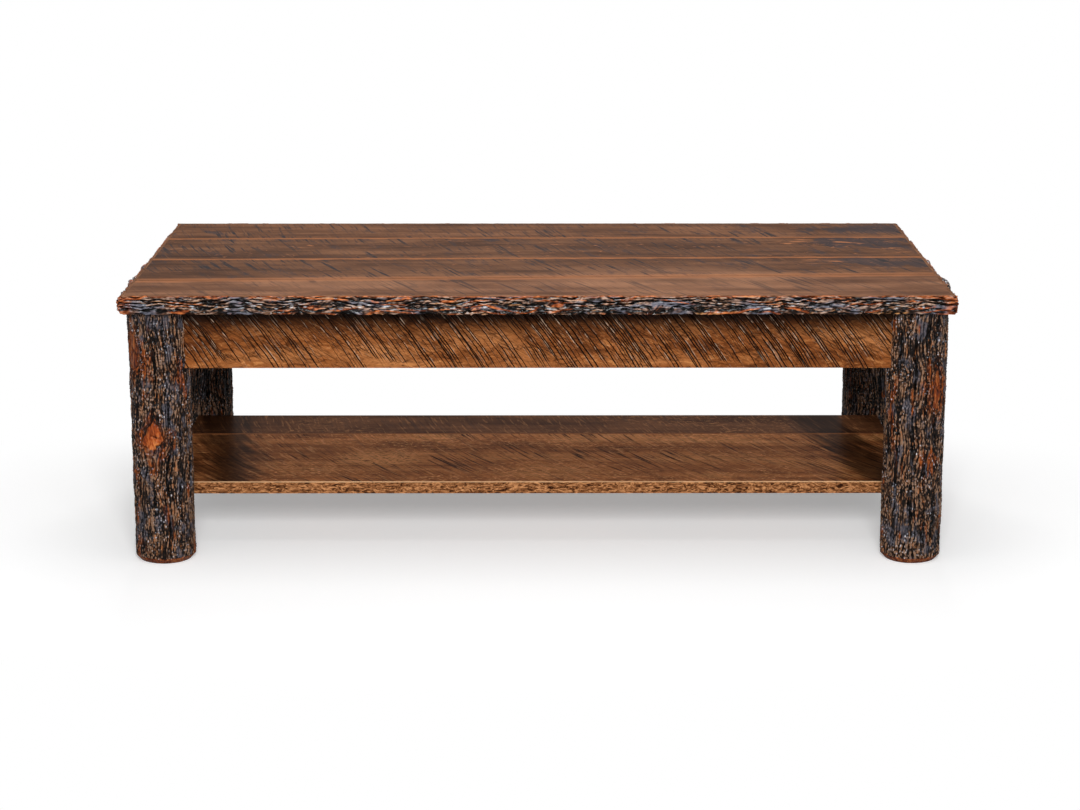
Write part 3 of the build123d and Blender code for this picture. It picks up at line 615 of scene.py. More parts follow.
def bark_log(name, seed, scars, rust_level):
    """A log with its bark on, bare at the foot and where branches were."""
    low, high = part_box(name)
    axis = Vector(((low.x + high.x) / 2, (low.y + high.y) / 2, 0))
    radius = (high.x - low.x) / 2
    bevel_height, bevel_width = FOOT_BEVEL
    rows = np.concatenate([np.linspace(0, bevel_height, 7)[:-1], np.linspace(bevel_height, high.z, LOG_ROWS)])
    turns, heights = np.meshgrid(np.arange(LOG_COLUMNS) / LOG_COLUMNS, rows)
    bent, scarred, halo, crack, dish = scar_fields(turns, heights, 2 * np.pi * radius, scars, seed)
    furrows = furrow_depths(name, axis, radius, high.z)
    depth, broad, tint, glint = furrowed_bark(turns, heights, bent, furrows, seed)

    bark_end = heights + 1.4 * MM * noise(turns * 40, heights, seed, 40)
    bare = np.maximum(step(bevel_height + 1.5 * MM, bevel_height, bark_end), scarred)
    grain = cloud(turns * 60, heights / 0.03, seed + 5, 60, octaves=2)
    hollow = 0.3 + 0.3 * grain + dish + 2.6 * np.clip(crack, 0, 1)
    depth = depth * (1 - bare) + bare * MM * hollow
    relief = np.clip(0.9 - (depth - broad * (1 - bare)) / SHADE_DEPTH, 0, 1.2)
    relief *= 0.25 + 0.75 * step(bevel_height, bevel_height + 2 * MM, heights)
    swell = cloud(turns * 4, heights / 0.12, seed + 9, 4)
    reach = radius - BARK_INSET - depth + 0.8 * MM * swell
    reach -= (1 - np.clip(heights / bevel_height, 0, 1)) * bevel_width
    angles = turns * 2 * np.pi
    points = np.stack([axis.x + reach * np.sin(angles), axis.y - reach * np.cos(angles), heights], axis=-1)

    streaks = noise(bent * 70, heights / 0.035, seed + 11, 70)
    rusty = cloud(turns * 10, heights / 0.07, seed + 13, 10)
    rust = step(rust_level, rust_level + 0.4, rusty + 0.45 * streaks + 0.25 * tint)
    rust = np.maximum(rust, halo) * (0.35 + 0.65 * step(-0.35, 0.2, streaks + 0.5 * tint))
    # painted highlights: pale glints on the upper flanks of beads
    fields = {"relief": relief, "rust": rust, "bare": bare, "painted_glint": 0.7 * glint * (1 - bare)}
    log = tube_object(name + "_bark", points, fields)
    carve(log, log_carvers(name, axis, radius))
    shade_smooth(log, BARK_SHARP)
    stand_in(log, name, LOG_BARK)


LOG_BARK = bark_material(
    "lacquered_bark",
    Shader.place,
    shades=(tone(2, 1, 1), tone(18, 11, 7), tone(58, 39, 28), tone(146, 112, 88)),
    cool=tone(82, 82, 92),
    tan=tone(186, 112, 60),
    rust_shades=(tone(10, 5, 1), tone(66, 28, 8), tone(154, 76, 26)),
    bare_shades=(tone(84, 28, 8), tone(164, 74, 26), tone(222, 134, 72)),
    painted_glint=tone(222, 230, 244),
    painted_glint_share=0.46,
)
bark_log("leg_front_left", 101, [(-8.6, 0.221, 0.018, 0.022, 0.6), (-55, 0.363, 0.017, 0.032, 2.0)], 0.42)
bark_log("leg_front_right", 202, [(38, 0.300, 0.008, 0.036, 1.6)], 0.38)
bark_log("leg_back_left", 303, [(150, 0.200, 0.018, 0.022, 0.7)], 0.55)
bark_log("leg_back_right", 404, [(200, 0.320, 0.016, 0.024, 0.9)], 0.5)


# The edging
STRIP_STEP = 0.95 * MM  # between sections
ARC_COLUMNS = 42  # points round a strip's bulge
LIP_COLUMNS = 8  # points across its top lip; the bottom one has half as many
CORNER_SECTIONS = 12  # from the end of a strip's straight part to the mitre
LIP = 8 * MM  # top and bottom of a strip, before its bark bulges out
BULGE = 13 * MM  # how far a strip stands out from the planks
PLAN_CORNER = 8 * MM  # radius of the top's corners, seen from above
EDGE_LAP = 4.2  # metres along the edging after which its bark repeats
EDGE_SEED = 500
STRIP_SHIFT = 0.9  # moves each strip on along the bark's pattern
EDGE_LUMPS = (0.7 * MM, 1.8 * MM, 1.2 * MM, 1.8 * MM)  # how high the bark's swellings are on each side
EDGE_KNOTS = (  # how far along the edging and down it each is, and half its length
    (0.703, 13 * MM, 13 * MM),
    (1.950, 15 * MM, 14 * MM),
    (4.620, 14 * MM, 12 * MM),
)
END_BURLS = {  # how far back each lies on the top's end, half its length and how far it stands out
    "right": ((176 * MM, 20 * MM, 4 * MM), (-13 * MM, 20 * MM, 4.5 * MM), (-205 * MM, 38 * MM, 7 * MM)),
    "left": ((-60 * MM, 24 * MM, 4.5 * MM), (-188 * MM, 32 * MM, 7 * MM), (-290 * MM, 22 * MM, 5 * MM)),
}


def edge_section():
    """Round a strip's section from its inner top edge to its inner bottom edge: how far out and down each
    point is, and the way it faces."""
    low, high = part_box("bark_edge_front")
    tall = high.z - low.z
    half, rise = tall / 2, BULGE - LIP
    arc_radius = (half**2 + rise**2) / (2 * rise)
    reach = math.asin(half / arc_radius)
    angles = np.linspace(reach, -reach, ARC_COLUMNS)
    arc_out = BULGE - arc_radius + arc_radius * np.cos(angles)
    arc_down = half - arc_radius * np.sin(angles)
    top_lip = np.linspace(0, LIP, LIP_COLUMNS + 1)[:-1]
    bottom_lip = top_lip[::-2]
    up = np.full_like(top_lip, np.pi / 2)
    under = np.full_like(bottom_lip, -np.pi / 2)
    out = np.concatenate([top_lip, arc_out, bottom_lip])
    down = np.concatenate([np.zeros_like(top_lip), arc_down, np.full_like(bottom_lip, tall)])
    return out, down, np.concatenate([up, angles + np.sign(angles) * 0.25, under]), tall


def strip_bark(s, t, seed, lump_height):
    """The bark's depth and fields at distances s round the top and t down its edge, in metres."""
    cells = round(EDGE_LAP / 0.06)
    u = s / EDGE_LAP * cells
    drift = 1.5 * noise(u * 0.8, t / 0.03, seed, cells) + 0.5 * noise(u * 2.6, t / 0.014, seed + 4, cells * 3)
    v = t / (6.4 * MM) + drift + 40
    eye = np.zeros_like(s)
    for centre, drop, half_length in EDGE_KNOTS:
        below = (t - drop) / (0.45 * half_length)
        far = np.hypot((s - centre) / half_length, below)
        v = v - below / np.maximum(far, 1) ** 2
        eye = np.maximum(eye, step(1.0, 0.8, far + 0.2 * noise(s / 0.006, t / 0.005, seed + 20)))
    crowns, tint = strands(v, u * 1.1, seed + 1, NOISE_CELLS, 1.9)
    crowns = np.maximum(crowns, 0.9 * step(0.25, 0.55, noise(u * 1.3 + 9, v * 0.5, seed + 6, cells * 2)))
    splits = ridges(u * 1.4, v * 0.55, seed + 2, cells * 2, 4.0)
    scales = noise(u * 10 + 1.2 * v, v * 3.2, seed + 3, cells * 10)
    lumps = cloud(s / 0.09, t / 0.03, seed + 7, NOISE_CELLS, octaves=2)
    depth = 2.4 * MM * (1 - crowns) + 2.2 * MM * (1 - splits) - 0.8 * MM * tint
    depth -= 0.7 * MM * scales * crowns + lump_height * lumps

    # Thin fibres lie slantwise over the rest.
    slant = 1.3 * noise(u * 0.6 + 30, t / 0.03, seed + 15, cells)
    slant = slant + 0.3 * noise(u * 2, t / 0.02, seed + 16, cells * 2)
    fibre, shown = strands(t / (8.0 * MM) + 1.2 * slant + 20, u * 0.9, seed + 17, NOISE_CELLS, 1.0)
    fibre = step(0.66, 0.86, fibre) * step(0.0, 0.25, shown)
    depth = depth * (1 - fibre) - 0.6 * MM * fibre
    relief = np.clip(crowns**1.4 * (0.45 + 0.43 * splits) + 0.12 * tint + 0.36 * scales, 0, 1.2)
    relief = relief * (1 - fibre) + fibre * (0.75 + 0.25 * scales)
    # painted shade, darkening the lower part of the edging under its bulge
    relief *= 1 - 0.14 * step(18 * MM, 31 * MM, t + 3 * MM * lumps)
    rust = fibre * step(-0.7, 0.1, scales + shown) + 0.75 * step(0.52, 0.8, tint + 0.2 * scales)
    return depth, relief * (1 - 0.3 * eye), np.clip(np.maximum(rust, eye), 0, 1)


def strip_path(half_length):
    """Where a strip's sections stand along it, from mitre to mitre, how far each is turned and how much it is
    stretched outwards. At each end they turn about the planks' corner."""
    fan = np.linspace(0, 45, CORNER_SECTIONS + 1)[1:]
    straight = np.arange(-half_length, half_length, STRIP_STEP)
    corner = np.full(CORNER_SECTIONS, half_length)
    places = np.concatenate([-corner, straight, corner])
    lean = np.radians(np.concatenate([-fan[::-1], np.zeros(len(straight)), fan]))
    inset = BULGE - PLAN_CORNER
    diagonal = inset * (np.cos(abs(lean)) + np.sin(abs(lean)))
    corner_reach = diagonal + np.sqrt(np.maximum(PLAN_CORNER**2 - 2 * inset**2 + diagonal**2, 0))
    return places, lean, np.minimum(corner_reach, BULGE / np.cos(lean)) / BULGE


def with_burls(depth, side, s, t, places, tall):
    """A strip's depths with its burls standing out."""
    backward = (places if side in SIDES[:2] else -places)[:, None] + 9 * MM * noise(s / 0.03, t / 0.012, 81)
    middle = step(1 * MM, 9 * MM, t) * step(tall, tall - 9 * MM, t)
    for place, half_burl, height in END_BURLS.get(side, ()):
        depth = depth - height * middle * np.exp(-(((backward - place) / half_burl) ** 2))
    return depth


def bark_strip(side, lump_height):
    """The bark along one side of the top, from mitre to mitre, between two smooth lips."""
    number = SIDES.index(side)
    half_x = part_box("bark_edge_right")[1].x - BULGE
    half_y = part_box("bark_edge_back")[1].y - BULGE
    half_length, half_depth = (half_x, half_y) if number % 2 == 0 else (half_y, half_x)
    out, down, facing, tall = edge_section()
    places, lean, stretch = strip_path(half_length)
    start = (2 * number) * half_length + STRIP_SHIFT * number
    s, t = np.meshgrid(start + places + half_length + lean * BULGE, down, indexing="ij")
    out, stretch, lean = out[None, :], stretch[:, None], lean[:, None]

    depth, relief, rust = strip_bark(s, t, EDGE_SEED, lump_height)
    on_lip = step(LIP, LIP - 3 * MM, out) * np.ones_like(s)
    depth = with_burls(depth, side, s, t, places, tall)
    depth = depth * (1 - on_lip) + on_lip * 0.25 * MM * noise(s / 0.02, t, 78)
    arris = np.exp(-((np.hypot(t, out - LIP) / (1.7 * MM)) ** 2))
    ragged = 0.5 + 0.5 * np.clip(noise(s / 0.03, np.full_like(s, number), 77) * 2, -1, 1)
    depth += arris * (0.3 + 0.6 * ragged) * MM
    reach = out * stretch - depth * np.cos(facing)
    reach[:, 0] = reach[:, -1] = 0
    drop = np.clip(t + depth * np.sin(facing), 0, tall + 1 * MM)
    x = places[:, None] + np.sin(lean) * reach
    y = -half_depth - np.cos(lean) * reach
    points = turned(x, y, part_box("bark_edge_front")[1].z - drop, side)

    corner = step(-18 * MM, 2 * MM, abs(places) - half_length)[:, None]
    rust = np.maximum(rust * (1 - on_lip), np.clip(1.15 * arris, 0, 1) * (t < 9 * MM))
    rust = np.maximum(rust, corner * (0.7 - 0.3 * on_lip))
    # painted highlights: pale glints on the upper flanks of the edging's ridges
    rise = -np.gradient(depth, axis=1) / MM
    glint = step(0.35, 1.1, rise) * step(0.0, 0.5, noise(s / 0.012, t / 0.004, 79))
    fields = {
        "relief": relief * (1 - on_lip) + 0.8 * on_lip,
        "rust": rust,
        "bare": on_lip * (t < 1 * MM),
        "painted_glint": 0.9 * glint * (1 - on_lip) * (1 - 0.4 * rust) * step(29 * MM, 17 * MM, t),
        "matt": on_lip,
        "run": s,
        "round": t + out,
    }
    strip = tube_object(f"bark_edge_{side}_bark", points, fields)
    shade_smooth(strip, BARK_SHARP)
    stand_in(strip, "bark_edge_" + side, EDGE_BARK)


EDGE_BARK = bark_material(
    "lacquered_edge_bark",
    along_strip,
    shades=(tone(3, 2, 1), tone(36, 22, 15), tone(108, 76, 59), tone(184, 153, 134)),
    cool=tone(106, 115, 132),
    tan=tone(222, 154, 88),
    rust_shades=(tone(24, 8, 2), tone(134, 62, 26), tone(226, 130, 70)),
    bare_shades=(tone(106, 72, 52), tone(136, 96, 72), tone(158, 114, 86)),
    painted_glint=tone(236, 242, 250),
    painted_glint_share=0.3,
    matt_lips=True,
)
for side, lump_height in zip(SIDES, EDGE_LUMPS):
    bark_strip(side, lump_height)


# ---------------------------------------------------------------- kerfed aprons
KERF_LEAN = 0.73  # how far a kerf moves sideways for its height
KERF_CURVE = 1.3  # and how that grows, per metre
KERF_STEP = 0.7 * MM  # between points along the face
KERF_ROWS = 36  # of points up it
PLAIN_EDGE = 13 * MM  # the strip along the bottom that the deep kerfs fade out on
FACE_SPARE = 3 * MM  # how far the kerfed face goes on past the apron's top and bottom
KERF_DEPTH = 1.5 * MM
BURR_HEIGHT = 0.35 * MM  # which is also how far the kerfed face lies behind the solid apron's
BLOCK_DEPTH = 40 * MM  # from front to back, more than an apron's
APRON_SHARP = 35  # degrees


def kerf_lines(length, seed):
    """The kerfs along an apron: place, half width, depth, how much of its length is missing, and which side
    its burr stands on. Deep ones that run nearly unbroken are mixed with scratches."""
    chance = np.random.default_rng(seed)
    place = -length / 2
    while place < length / 2:
        place += chance.uniform(2.6, 9.0) * MM
        if chance.random() < 0.6:
            half_width, share, missing = chance.uniform(1.1, 1.9) * MM, chance.uniform(0.6, 1.0), -0.45
        else:
            half_width, share, missing = chance.uniform(0.8, 1.3) * MM, chance.uniform(0.3, 0.6), 0.0
        yield place, half_width, share, missing, chance.choice((-1, 1))


def kerf_fields(q, z, length, seed):
    """How deep the kerfs are and how high their burrs, as shares, at kerf coordinate q and height z."""
    kerf = np.zeros_like(q)
    burr = np.zeros_like(q)
    for number, (place, half_width, share, missing, burr_side) in enumerate(kerf_lines(length, seed)):
        near = abs(q[0] - place) < 7 * MM
        here_q, here_z = q[:, near], z[:, near]
        own = np.full_like(here_q, number)
        wobble = 1.5 * MM * cloud(here_z / 0.032, own * 0.37, seed + 1, octaves=2)
        shown = step(missing - 0.3, missing + 0.3, noise(here_z / 0.045, own * 0.61, seed + 2))
        off = (here_q - place - wobble) / half_width
        kerf[:, near] = np.maximum(kerf[:, near], share * shown * np.clip(1 - abs(off), 0, 1))
        ledge = share * shown * np.exp(-(((off - burr_side * 1.3) / 0.4) ** 2)) * (0.3 if number % 4 else 1.0)
        burr[:, near] = np.maximum(burr[:, near], ledge)
    return kerf, burr


def kerfed_face(half_length, low_z, high_z, seed):
    """An apron's face, laid out along its kerfs: how far along and up each point is, how far in it lies, and
    its fields."""
    levels = np.linspace(low_z - FACE_SPARE, high_z + FACE_SPARE, KERF_ROWS)
    reach = half_length + (high_z - low_z) * KERF_LEAN
    q, z = np.meshgrid(np.arange(-reach, reach, KERF_STEP), levels)
    middle = z - (low_z + high_z) / 2
    x = q - middle * (KERF_LEAN + KERF_CURVE * middle)
    kerf, burr = kerf_fields(q, z, 2 * reach, seed)
    wavy_z = z + 6 * MM * noise(x / 0.06, z, seed + 7)
    deep = step(low_z + 0.5 * PLAIN_EDGE, low_z + 1.4 * PLAIN_EDGE, wavy_z)
    through = 0.75 * step(-0.45, 0.05, noise(x / 0.09, np.zeros_like(z), seed + 8))
    kerf *= 0.1 + 0.9 * np.maximum(deep, through)
    burr *= 0.2 + 0.8 * deep
    rough = cloud(x / 0.02, z / 0.006, seed + 9, octaves=2)
    inward = KERF_DEPTH * kerf - BURR_HEIGHT * burr + 0.12 * MM * rough
    return x, z, inward, {"kerf": kerf, "burr": burr, "deep": deep}


def kerfed_apron(side, seed):
    """An apron whose outer face has deep, slanting saw kerfs: the solid apron, carved by a kerfed block."""
    number = SIDES.index(side)
    node = "apron_" + side
    low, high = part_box(node)
    length_axis, depth_axis = (0, 1) if number % 2 == 0 else (1, 0)
    half_length = (high[length_axis] - low[length_axis]) / 2
    outer = max(abs(low[depth_axis]), abs(high[depth_axis]))
    x, z, inward, fields = kerfed_face(half_length, low.z, high.z, seed)
    front = (x, -(outer - BURR_HEIGHT) + inward, z)
    back = (x, np.full_like(x, -outer + BLOCK_DEPTH), z)
    ring = turned(*(np.concatenate([b, f[::-1]]) for b, f in zip(back, front)), side)
    blank = np.zeros_like(x)
    ring_fields = {key: np.concatenate([blank, field[::-1]]).T for key, field in fields.items()}
    block = tube_object("kerfed", ring.transpose(1, 0, 2), ring_fields)
    piece = welded_copy(node)
    piece.name = node + "_kerfed"
    for key in fields:
        add_field(piece.data, key, np.zeros(len(piece.data.vertices)))
    carve(piece, [block], "INTERSECT")
    shade_smooth(piece, APRON_SHARP)
    lean = KERF_LEAN if number < 2 else -KERF_LEAN
    material = apron_material("apron_wood_" + side, (9.1 + number, 0, -0.381), "XY"[length_axis], lean)
    stand_in(piece, node, material)


APRON_SHADES = (tone(94, 45, 17), tone(151, 87, 43), tone(192, 124, 73))
APRON_PAINTED_SHADE = (0.372, 0.42)  # heights between which painted shade, for the top's overhang, darkens it towards the top


def apron_material(name, shift, grain_axis, lean):
    """Curly wood between the deep kerfs, darker towards the top by painted shade under the top's overhang,
    paler along the bottom strip, with painted highlights along some kerfs.
    """
    wood = Wood(name, APRON_SHADES, shift, lean, KERF_CURVE, grain_axis, marks_up=True)
    kerf, burr, deep = (wood.field(key) for key in ("kerf", "burr", "deep"))
    curls = wood.figure((46, 120, 120), detail=4, roughness=0.7, distortion=1.4)
    wood.paint(wood.times(wood.between(curls, 0.48, 0.36), 0.7), tone(66, 32, 12), -0.6)
    bright_curls = wood.times(wood.between(curls, 0.54, 0.66), wood.scaled(deep, -0.25, 0.75))
    wood.paint(bright_curls, tone(208, 138, 80), 0.6)
    chips = wood.times(wood.arcs(14, 130, 0.022, 0.5, 0.64, 0.9), wood.scaled(deep, 0.45, 0.1))
    wood.paint(chips, tone(86, 46, 19), -0.5)
    scores = wood.times(wood.arcs(0, 200, 0.05, 0.5, 0.68, 0.1), wood.scaled(deep, 0.5, 0.1))
    wood.paint(scores, tone(52, 26, 10), -0.8)
    glints = wood.times(wood.arcs(4, 260, 0.018, 0.66, 0.74, 0.1), wood.scaled(deep, 0.5, 0.1))
    wood.paint(glints, tone(214, 166, 122), 0.5)
    # painted shade: the top's overhang shading the apron towards its top
    wood.paint(wood.times(wood.between(wood.z, *APRON_PAINTED_SHADE), 0.9), tone(22, 8, 2))
    wood.paint(wood.between(kerf, 0.0, 0.42), tone(24, 12, 5))
    # painted highlight: pale light along the kerfs' burrs, which are also raised in the mesh
    flickers = wood.between(wood.figure((90, 60, 60), detail=4), 0.44, 0.62)
    wood.paint(wood.times(burr, wood.times(flickers, 0.95)), tone(228, 196, 168))
    return wood.finish(0.08, 0.2, 0.9)


for number, side in enumerate(SIDES):
    kerfed_apron(side, 900 + 10 * number)


# ---------------------------------------------------------------- boards
TOP_LEAN, TOP_CURVE = 0.36, -0.2
SHELF_LEAN, SHELF_CURVE = 0.45, -0.6
WOOD_TOP_BACK = (tone(76, 46, 29), tone(120, 79, 53), tone(150, 102, 71))
WOOD_TOP = (tone(70, 43, 28), tone(108, 71, 48), tone(138, 94, 65))
WOOD_TOP_FRONT = (tone(94, 60, 40), tone(128, 86, 61), tone(162, 114, 83))
# The shelf's boards are one wood: the back board's shades are darker as painted shade, the front board's
# lighter as painted light.
WOOD_SHELF_BACK_SHADED = (tone(68, 39, 23), tone(106, 66, 41), tone(132, 86, 56))
WOOD_SHELF_FRONT_LIT = (tone(120, 70, 38), tone(184, 114, 66), tone(216, 146, 90))
WOOD_FRAMING = (tone(74, 48, 30), tone(110, 76, 50), tone(136, 96, 68))

PLANK_HALF_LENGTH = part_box("top_plank_back")[1].x
SEAM_STYLES = {  # how much further back a plank's front edge lies at its right end, and how the seam is worn
    "top_plank_front_middle": (56 * MM, 24 * MM, 0.6),
    "top_plank_rear_middle": (22 * MM, 9 * MM, 1.0),
    "top_plank_back": (16 * MM, 8 * MM, 1.0),
}
SEAMS = [
    (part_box(plank)[0].y + slant / 2, slant / (2 * PLANK_HALF_LENGTH), half_width, strength)
    for plank, (slant, half_width, strength) in SEAM_STYLES.items()
]
GREY_SPOTS = [((0.62, 0.28), (0.16, 0.07)), ((0.60, 0.14), (0.14, 0.08)), ((0.59, -0.05), (0.14, 0.07))]
TORN_SPOTS = [((0.50, 0.13), (0.11, 0.06)), ((0.47, -0.03), (0.10, 0.05)), ((0.63, 0.06), (0.05, 0.05))]
SCORED_SPOTS = [((-0.19, -0.25), (0.12, 0.09)), ((0.44, -0.25), (0.09, 0.09)), ((0.2, 0.1), (0.2, 0.1))]
PALE_SPOTS = [((0.22, -0.2), (0.3, 0.14)), ((-0.35, -0.24), (0.2, 0.07))]


def top_wood(name, shift, shades, strokes, stained, flecked):
    wood = Wood(name, shades, shift, TOP_LEAN, TOP_CURVE)
    pale = wood.times(wood.between(wood.near(PALE_SPOTS), 0.0, 0.6), wood.scaled(wood.patches, 1.6, -0.2))
    wood.paint(wood.times(pale, 0.75), tone(172, 122, 90))
    # grey stain in the right end's spots, with a painted bluish sheen
    wood.stain(stained, GREY_STAIN_AND_SHEEN, GREY_SPOTS)
    wood.strokes(strokes, SCORED_SPOTS)
    wood.flecks(flecked)
    torn = wood.figure((20, 85, 85), (7, 1, 0), detail=3, distortion=0.8)
    torn = wood.times(wood.between(torn, 0.55, 0.66), wood.between(wood.near(TORN_SPOTS), 0.0, 0.5))
    wood.paint(torn, WORN_ORANGE, 0.4)
    wood.seams(SEAMS)
    return wood.finish(0.09)


for number, plank in enumerate(("top_plank_back", "top_plank_rear_middle", "top_plank_front_middle")):
    flecked = 0.75 if plank == "top_plank_rear_middle" else 0.35
    shades = WOOD_TOP_BACK if plank == "top_plank_back" else WOOD_TOP
    dress(plank, top_wood(plank + "_wood", (3.1 * number, 1.7 * number, 0), shades, 0.95, 0.7, flecked))
dress("top_plank_front", top_wood("top_plank_front_wood", (11, 4, 0), WOOD_TOP_FRONT, 0.6, 0.3, 0.25))

SHELF_FRONT, SHELF_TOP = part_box("shelf_board_front")[0].y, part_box("shelf_board_front")[1].z
SHELF_SEAM = [(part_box("shelf_board_back")[0].y, 0.0, 5 * MM, 0.8)]
SWIRL = [((-0.28, -0.08), (0.10, 0.07))]
SHELF_SHADOW_BAND = 0.555  # from the shelf's middle to a painted shadow of the legs near each of its ends


def shelf_wood(name, shift, shades, worked):
    """Worked is how strongly the saw's marks and the torn fibres show."""
    wood = Wood(name, shades, shift, SHELF_LEAN, SHELF_CURVE)
    wood.stain(0.5, tone(66, 40, 24))
    zones = wood.figure((4, 9, 9), (1, 8, 0), detail=2)
    scored = wood.scaled(wood.between(zones, 0.42, 0.6), 0.75 * worked, 0.25 * worked)
    lines = wood.arcs(3, 210, 0.12, 0.53, 0.64)
    wood.paint(wood.times(lines, scored), tone(62, 34, 18), -0.7)
    curly = wood.figure((48, 120, 120), (4, 2, 0), detail=3, distortion=2.4)
    wood.paint(wood.times(wood.between(curly, 0.46, 0.38), 0.45 * worked), tone(78, 44, 24), -0.4)
    nicks = wood.times(wood.between(curly, 0.58, 0.64), wood.between(zones, 0.56, 0.42))
    wood.paint(wood.times(nicks, 0.9 * worked), tone(240, 168, 110), 0.6)
    wood.paint(wood.times(wood.arcs(6, 230, 0.05, 0.58, 0.68), 0.6 * worked), tone(226, 158, 104), 0.5)
    swirl = wood.between(wood.near(SWIRL), 0.05, 0.6)
    wood.paint(wood.times(swirl, wood.between(curly, 0.4, 0.56)), tone(222, 152, 96))
    wood.strokes(0.3)
    # painted shadow: a dark band where the legs' shadows fall near each end of the shelf
    off_middle = wood.math("ABSOLUTE", wood.scaled(wood.y, 0.15, wood.x))
    off_shadow_band = wood.math("ABSOLUTE", wood.scaled(off_middle, 1.0, -SHELF_SHADOW_BAND))
    off_shadow_band = wood.plus(off_shadow_band, wood.scaled(wood.arcs(8, 60, 0.2, 0.35, 0.65), 0.03, -0.015))
    wood.paint(wood.times(wood.between(off_shadow_band, 0.075, 0.015), 0.85), tone(34, 17, 8))
    wood.seams(SHELF_SEAM)
    return wood


def front_edge(wood, face, top):
    """Wormy grain on a board's front edge, and a painted highlight along its arris."""
    on_face = wood.between(wood.y, face + 0.5 * MM, face + 0.1 * MM)
    worms = wood.figure((80, 110, 240), detail=4, roughness=0.62, distortion=1.6)
    shades = (tone(50, 24, 10), tone(138, 86, 50), tone(206, 144, 94))
    wood.paint(on_face, wood.ramp(worms, *zip((0.38, 0.5, 0.62), shades)))
    # painted highlight along the arris
    up = wood.between(wood.z, top - 2.2 * MM, top - 0.8 * MM)
    out = wood.between(wood.y, face + 2.2 * MM, face + 0.8 * MM)
    wood.paint(wood.times(wood.times(up, out), wood.scaled(wood.patches, 1.0, 0.3)), tone(226, 182, 138))


shelf_back_wood = shelf_wood("shelf_board_back_wood", (5.3, 2.9, 0), WOOD_SHELF_BACK_SHADED, 0.45)
dress("shelf_board_back", shelf_back_wood.finish(0.07))
shelf_front_wood = shelf_wood("shelf_board_front_wood", (6.3, 2.9, 0), WOOD_SHELF_FRONT_LIT, 1.0)
front_edge(shelf_front_wood, SHELF_FRONT, SHELF_TOP)
dress("shelf_board_front", shelf_front_wood.finish(0.07))


def framing_wood(name, shift, grain_axis):
    wood = Wood(name, WOOD_FRAMING, shift, 0.5, grain_axis=grain_axis, marks_up=True)
    wood.strokes(0.4)
    return wood.finish(0.1)


def steel_material(name, colour):
    shader = Shader(bpy.data.materials.new(name))
    scuffs = shader.noise(shader.place(), 900, detail=2)
    shade = shader.ramp(scuffs, (0.3, tuple(0.6 * c for c in colour)), (0.7, colour))
    sockets = {"Base Color": shade, "Metallic": 1.0, "Roughness": shader.scaled(scuffs, 0.3, 0.2)}
    return shader.surface(shader.add("BsdfPrincipled", sockets))


LONG_FRAMING = framing_wood("framing_wood", (13, 0, 0), "X")
END_FRAMING = framing_wood("end_framing_wood", (15, 0, 0), "Y")
STEEL = steel_material("zinc_steel", tone(176, 176, 172))
DARK_STEEL = steel_material("dark_steel", tone(60, 52, 48))
for name in nodes:
    if name.endswith("screws"):
        dress(name, STEEL)
    elif name.startswith(("cleat_front", "cleat_back")) or name.endswith("dowels"):
        dress(name, LONG_FRAMING)
    elif name.startswith(("cleat_left", "cleat_right", "top_batten", "shelf_batten", "shelf_rail")):
        dress(name, END_FRAMING)
dress("bark_nails", DARK_STEEL)


# ---------------------------------------------------------------- studio
AMBIENT = 0.1  # how strongly the white surroundings light the table; they are seen at 1
FLOOR_BOUNCE = 0.45  # of the light on the floor that lights the table again
CAMERA_PLACE = (-0.0062, -4.3645, 1.2655)
CAMERA_LENS = 83.92  # millimetres, behind which the picture is 36 mm wide
CAMERA_DIP = 13.803  # degrees below level
CAMERA_TURN = -0.00231  # radians, anticlockwise from above


def seen_directly(shader):
    """1 for camera, glossy and transmission rays."""
    rays = shader.add("LightPath").node.outputs
    seen = shader.math("MAXIMUM", rays["Is Camera Ray"], rays["Is Glossy Ray"])
    return shader.math("MAXIMUM", seen, rays["Is Transmission Ray"])


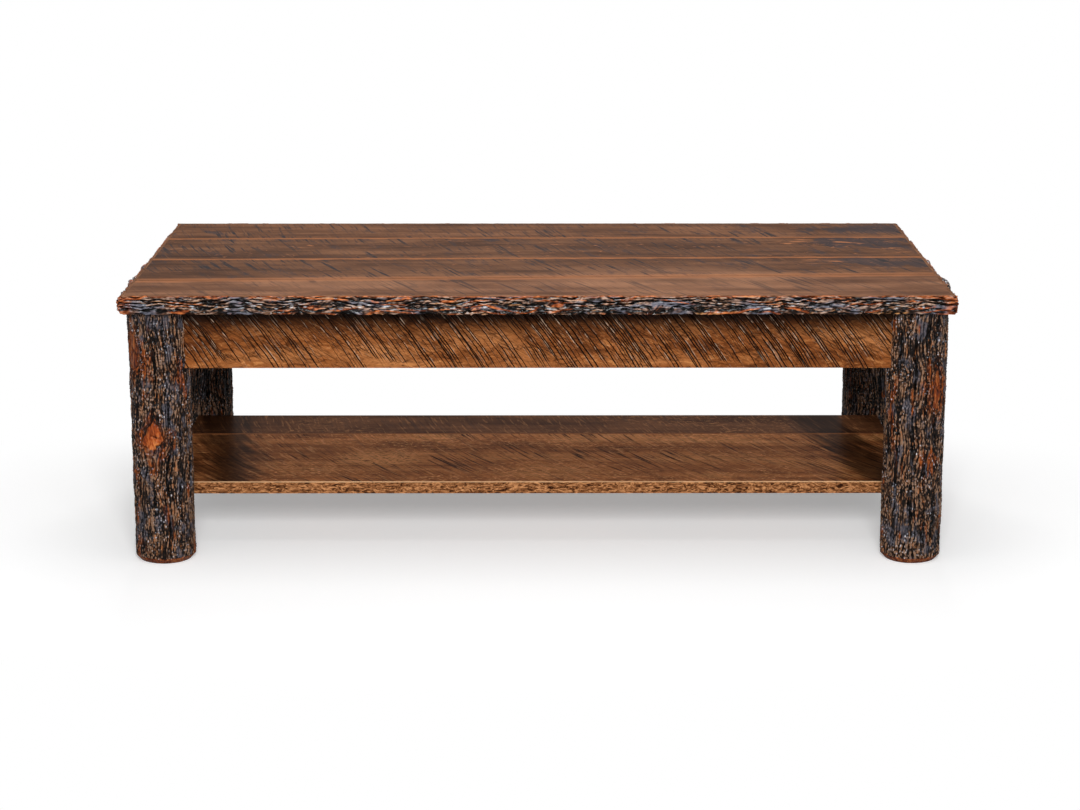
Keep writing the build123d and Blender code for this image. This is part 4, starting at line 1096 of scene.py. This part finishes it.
def make_floor():
    """A pale floor that keeps the table's shadow and turns pure white further off."""
    reach = 20.0
    corners = np.array([(-reach, -reach, 0), (reach, -reach, 0), (reach, reach, 0), (-reach, reach, 0)])
    floor = mesh_object("floor", corners, [(0, 1, 2, 3)], {})
    shader = Shader(bpy.data.materials.new("pale_floor"))
    seen = seen_directly(shader)
    oval = shader.stretch(shader.place(), (0.8, 1.35, 0), (0, 0.15, 0))
    distance = shader.add("VectorMath", {0: oval}, operation="LENGTH").node.outputs["Value"]
    far = shader.between(distance, 0.7, 1.15)
    diffuse = shader.add("BsdfDiffuse", {"Color": shader.mix(seen, grey(FLOOR_BOUNCE), tone(236, 236, 236))})
    glow = shader.add("Emission", {"Color": (1, 1, 1), "Strength": shader.scaled(seen, 0.35)})
    near_floor = shader.add("AddShader", {0: diffuse, 1: glow})
    white = shader.add("Emission", {"Color": (1, 1, 1), "Strength": 1.0})
    both = shader.add("MixShader", {0: shader.times(far, seen), 1: near_floor, 2: white})
    floor.data.materials.append(shader.surface(both))


def make_world():
    world = bpy.data.worlds.new("studio")
    bpy.context.scene.world = world
    shader = Shader(world)
    strength = shader.scaled(seen_directly(shader), 1.0 - AMBIENT, AMBIENT)
    background = shader.add("Background", {"Color": (1, 1, 1), "Strength": strength})
    shader.add("OutputWorld", {"Surface": background})


def soft_light(name, place, target, size, power, colour=(1, 1, 1)):
    light = bpy.data.lights.new(name, "AREA")
    light.shape = "RECTANGLE"
    light.size, light.size_y = size
    light.energy = power
    light.color = colour
    lamp = new_object(name, light)
    lamp.location = place
    lamp.rotation_mode = "QUATERNION"
    lamp.rotation_quaternion = (Vector(target) - Vector(place)).to_track_quat("-Z", "Y")


def make_camera():
    """Some 4.4 m in front of the table's middle and a metre and a quarter up, looking a little down."""
    camera = bpy.data.cameras.new("camera")
    camera.sensor_width = 36
    camera.lens = CAMERA_LENS
    camera.clip_end = 100
    eye = new_object("camera", camera)
    eye.location = CAMERA_PLACE
    eye.rotation_euler = (math.radians(90 - CAMERA_DIP), 0, CAMERA_TURN)
    bpy.context.scene.camera = eye


make_floor()
make_world()
make_camera()
COOL = (0.84, 0.92, 1.0)
soft_light("overhead", (0, -0.6, 2.4), (0, 0, 0.3), (2.6, 1.6), 20)
soft_light("front", (0.1, -4.4, 2.1), (0, 0, 0.2), (1.2, 1.0), 160)
soft_light("behind", (0, 3.2, 3.0), (0, 0, 0.2), (2.0, 1.0), 60)
soft_light("left_strip", (-0.9, -3.4, 1.3), (-0.5, 0, 0.25), (0.03, 1.3), 5, COOL)
soft_light("right_strip", (1.0, -3.4, 1.3), (0.5, 0, 0.25), (0.03, 1.3), 5, COOL)

bpy.context.scene.view_settings.view_transform = "Standard"
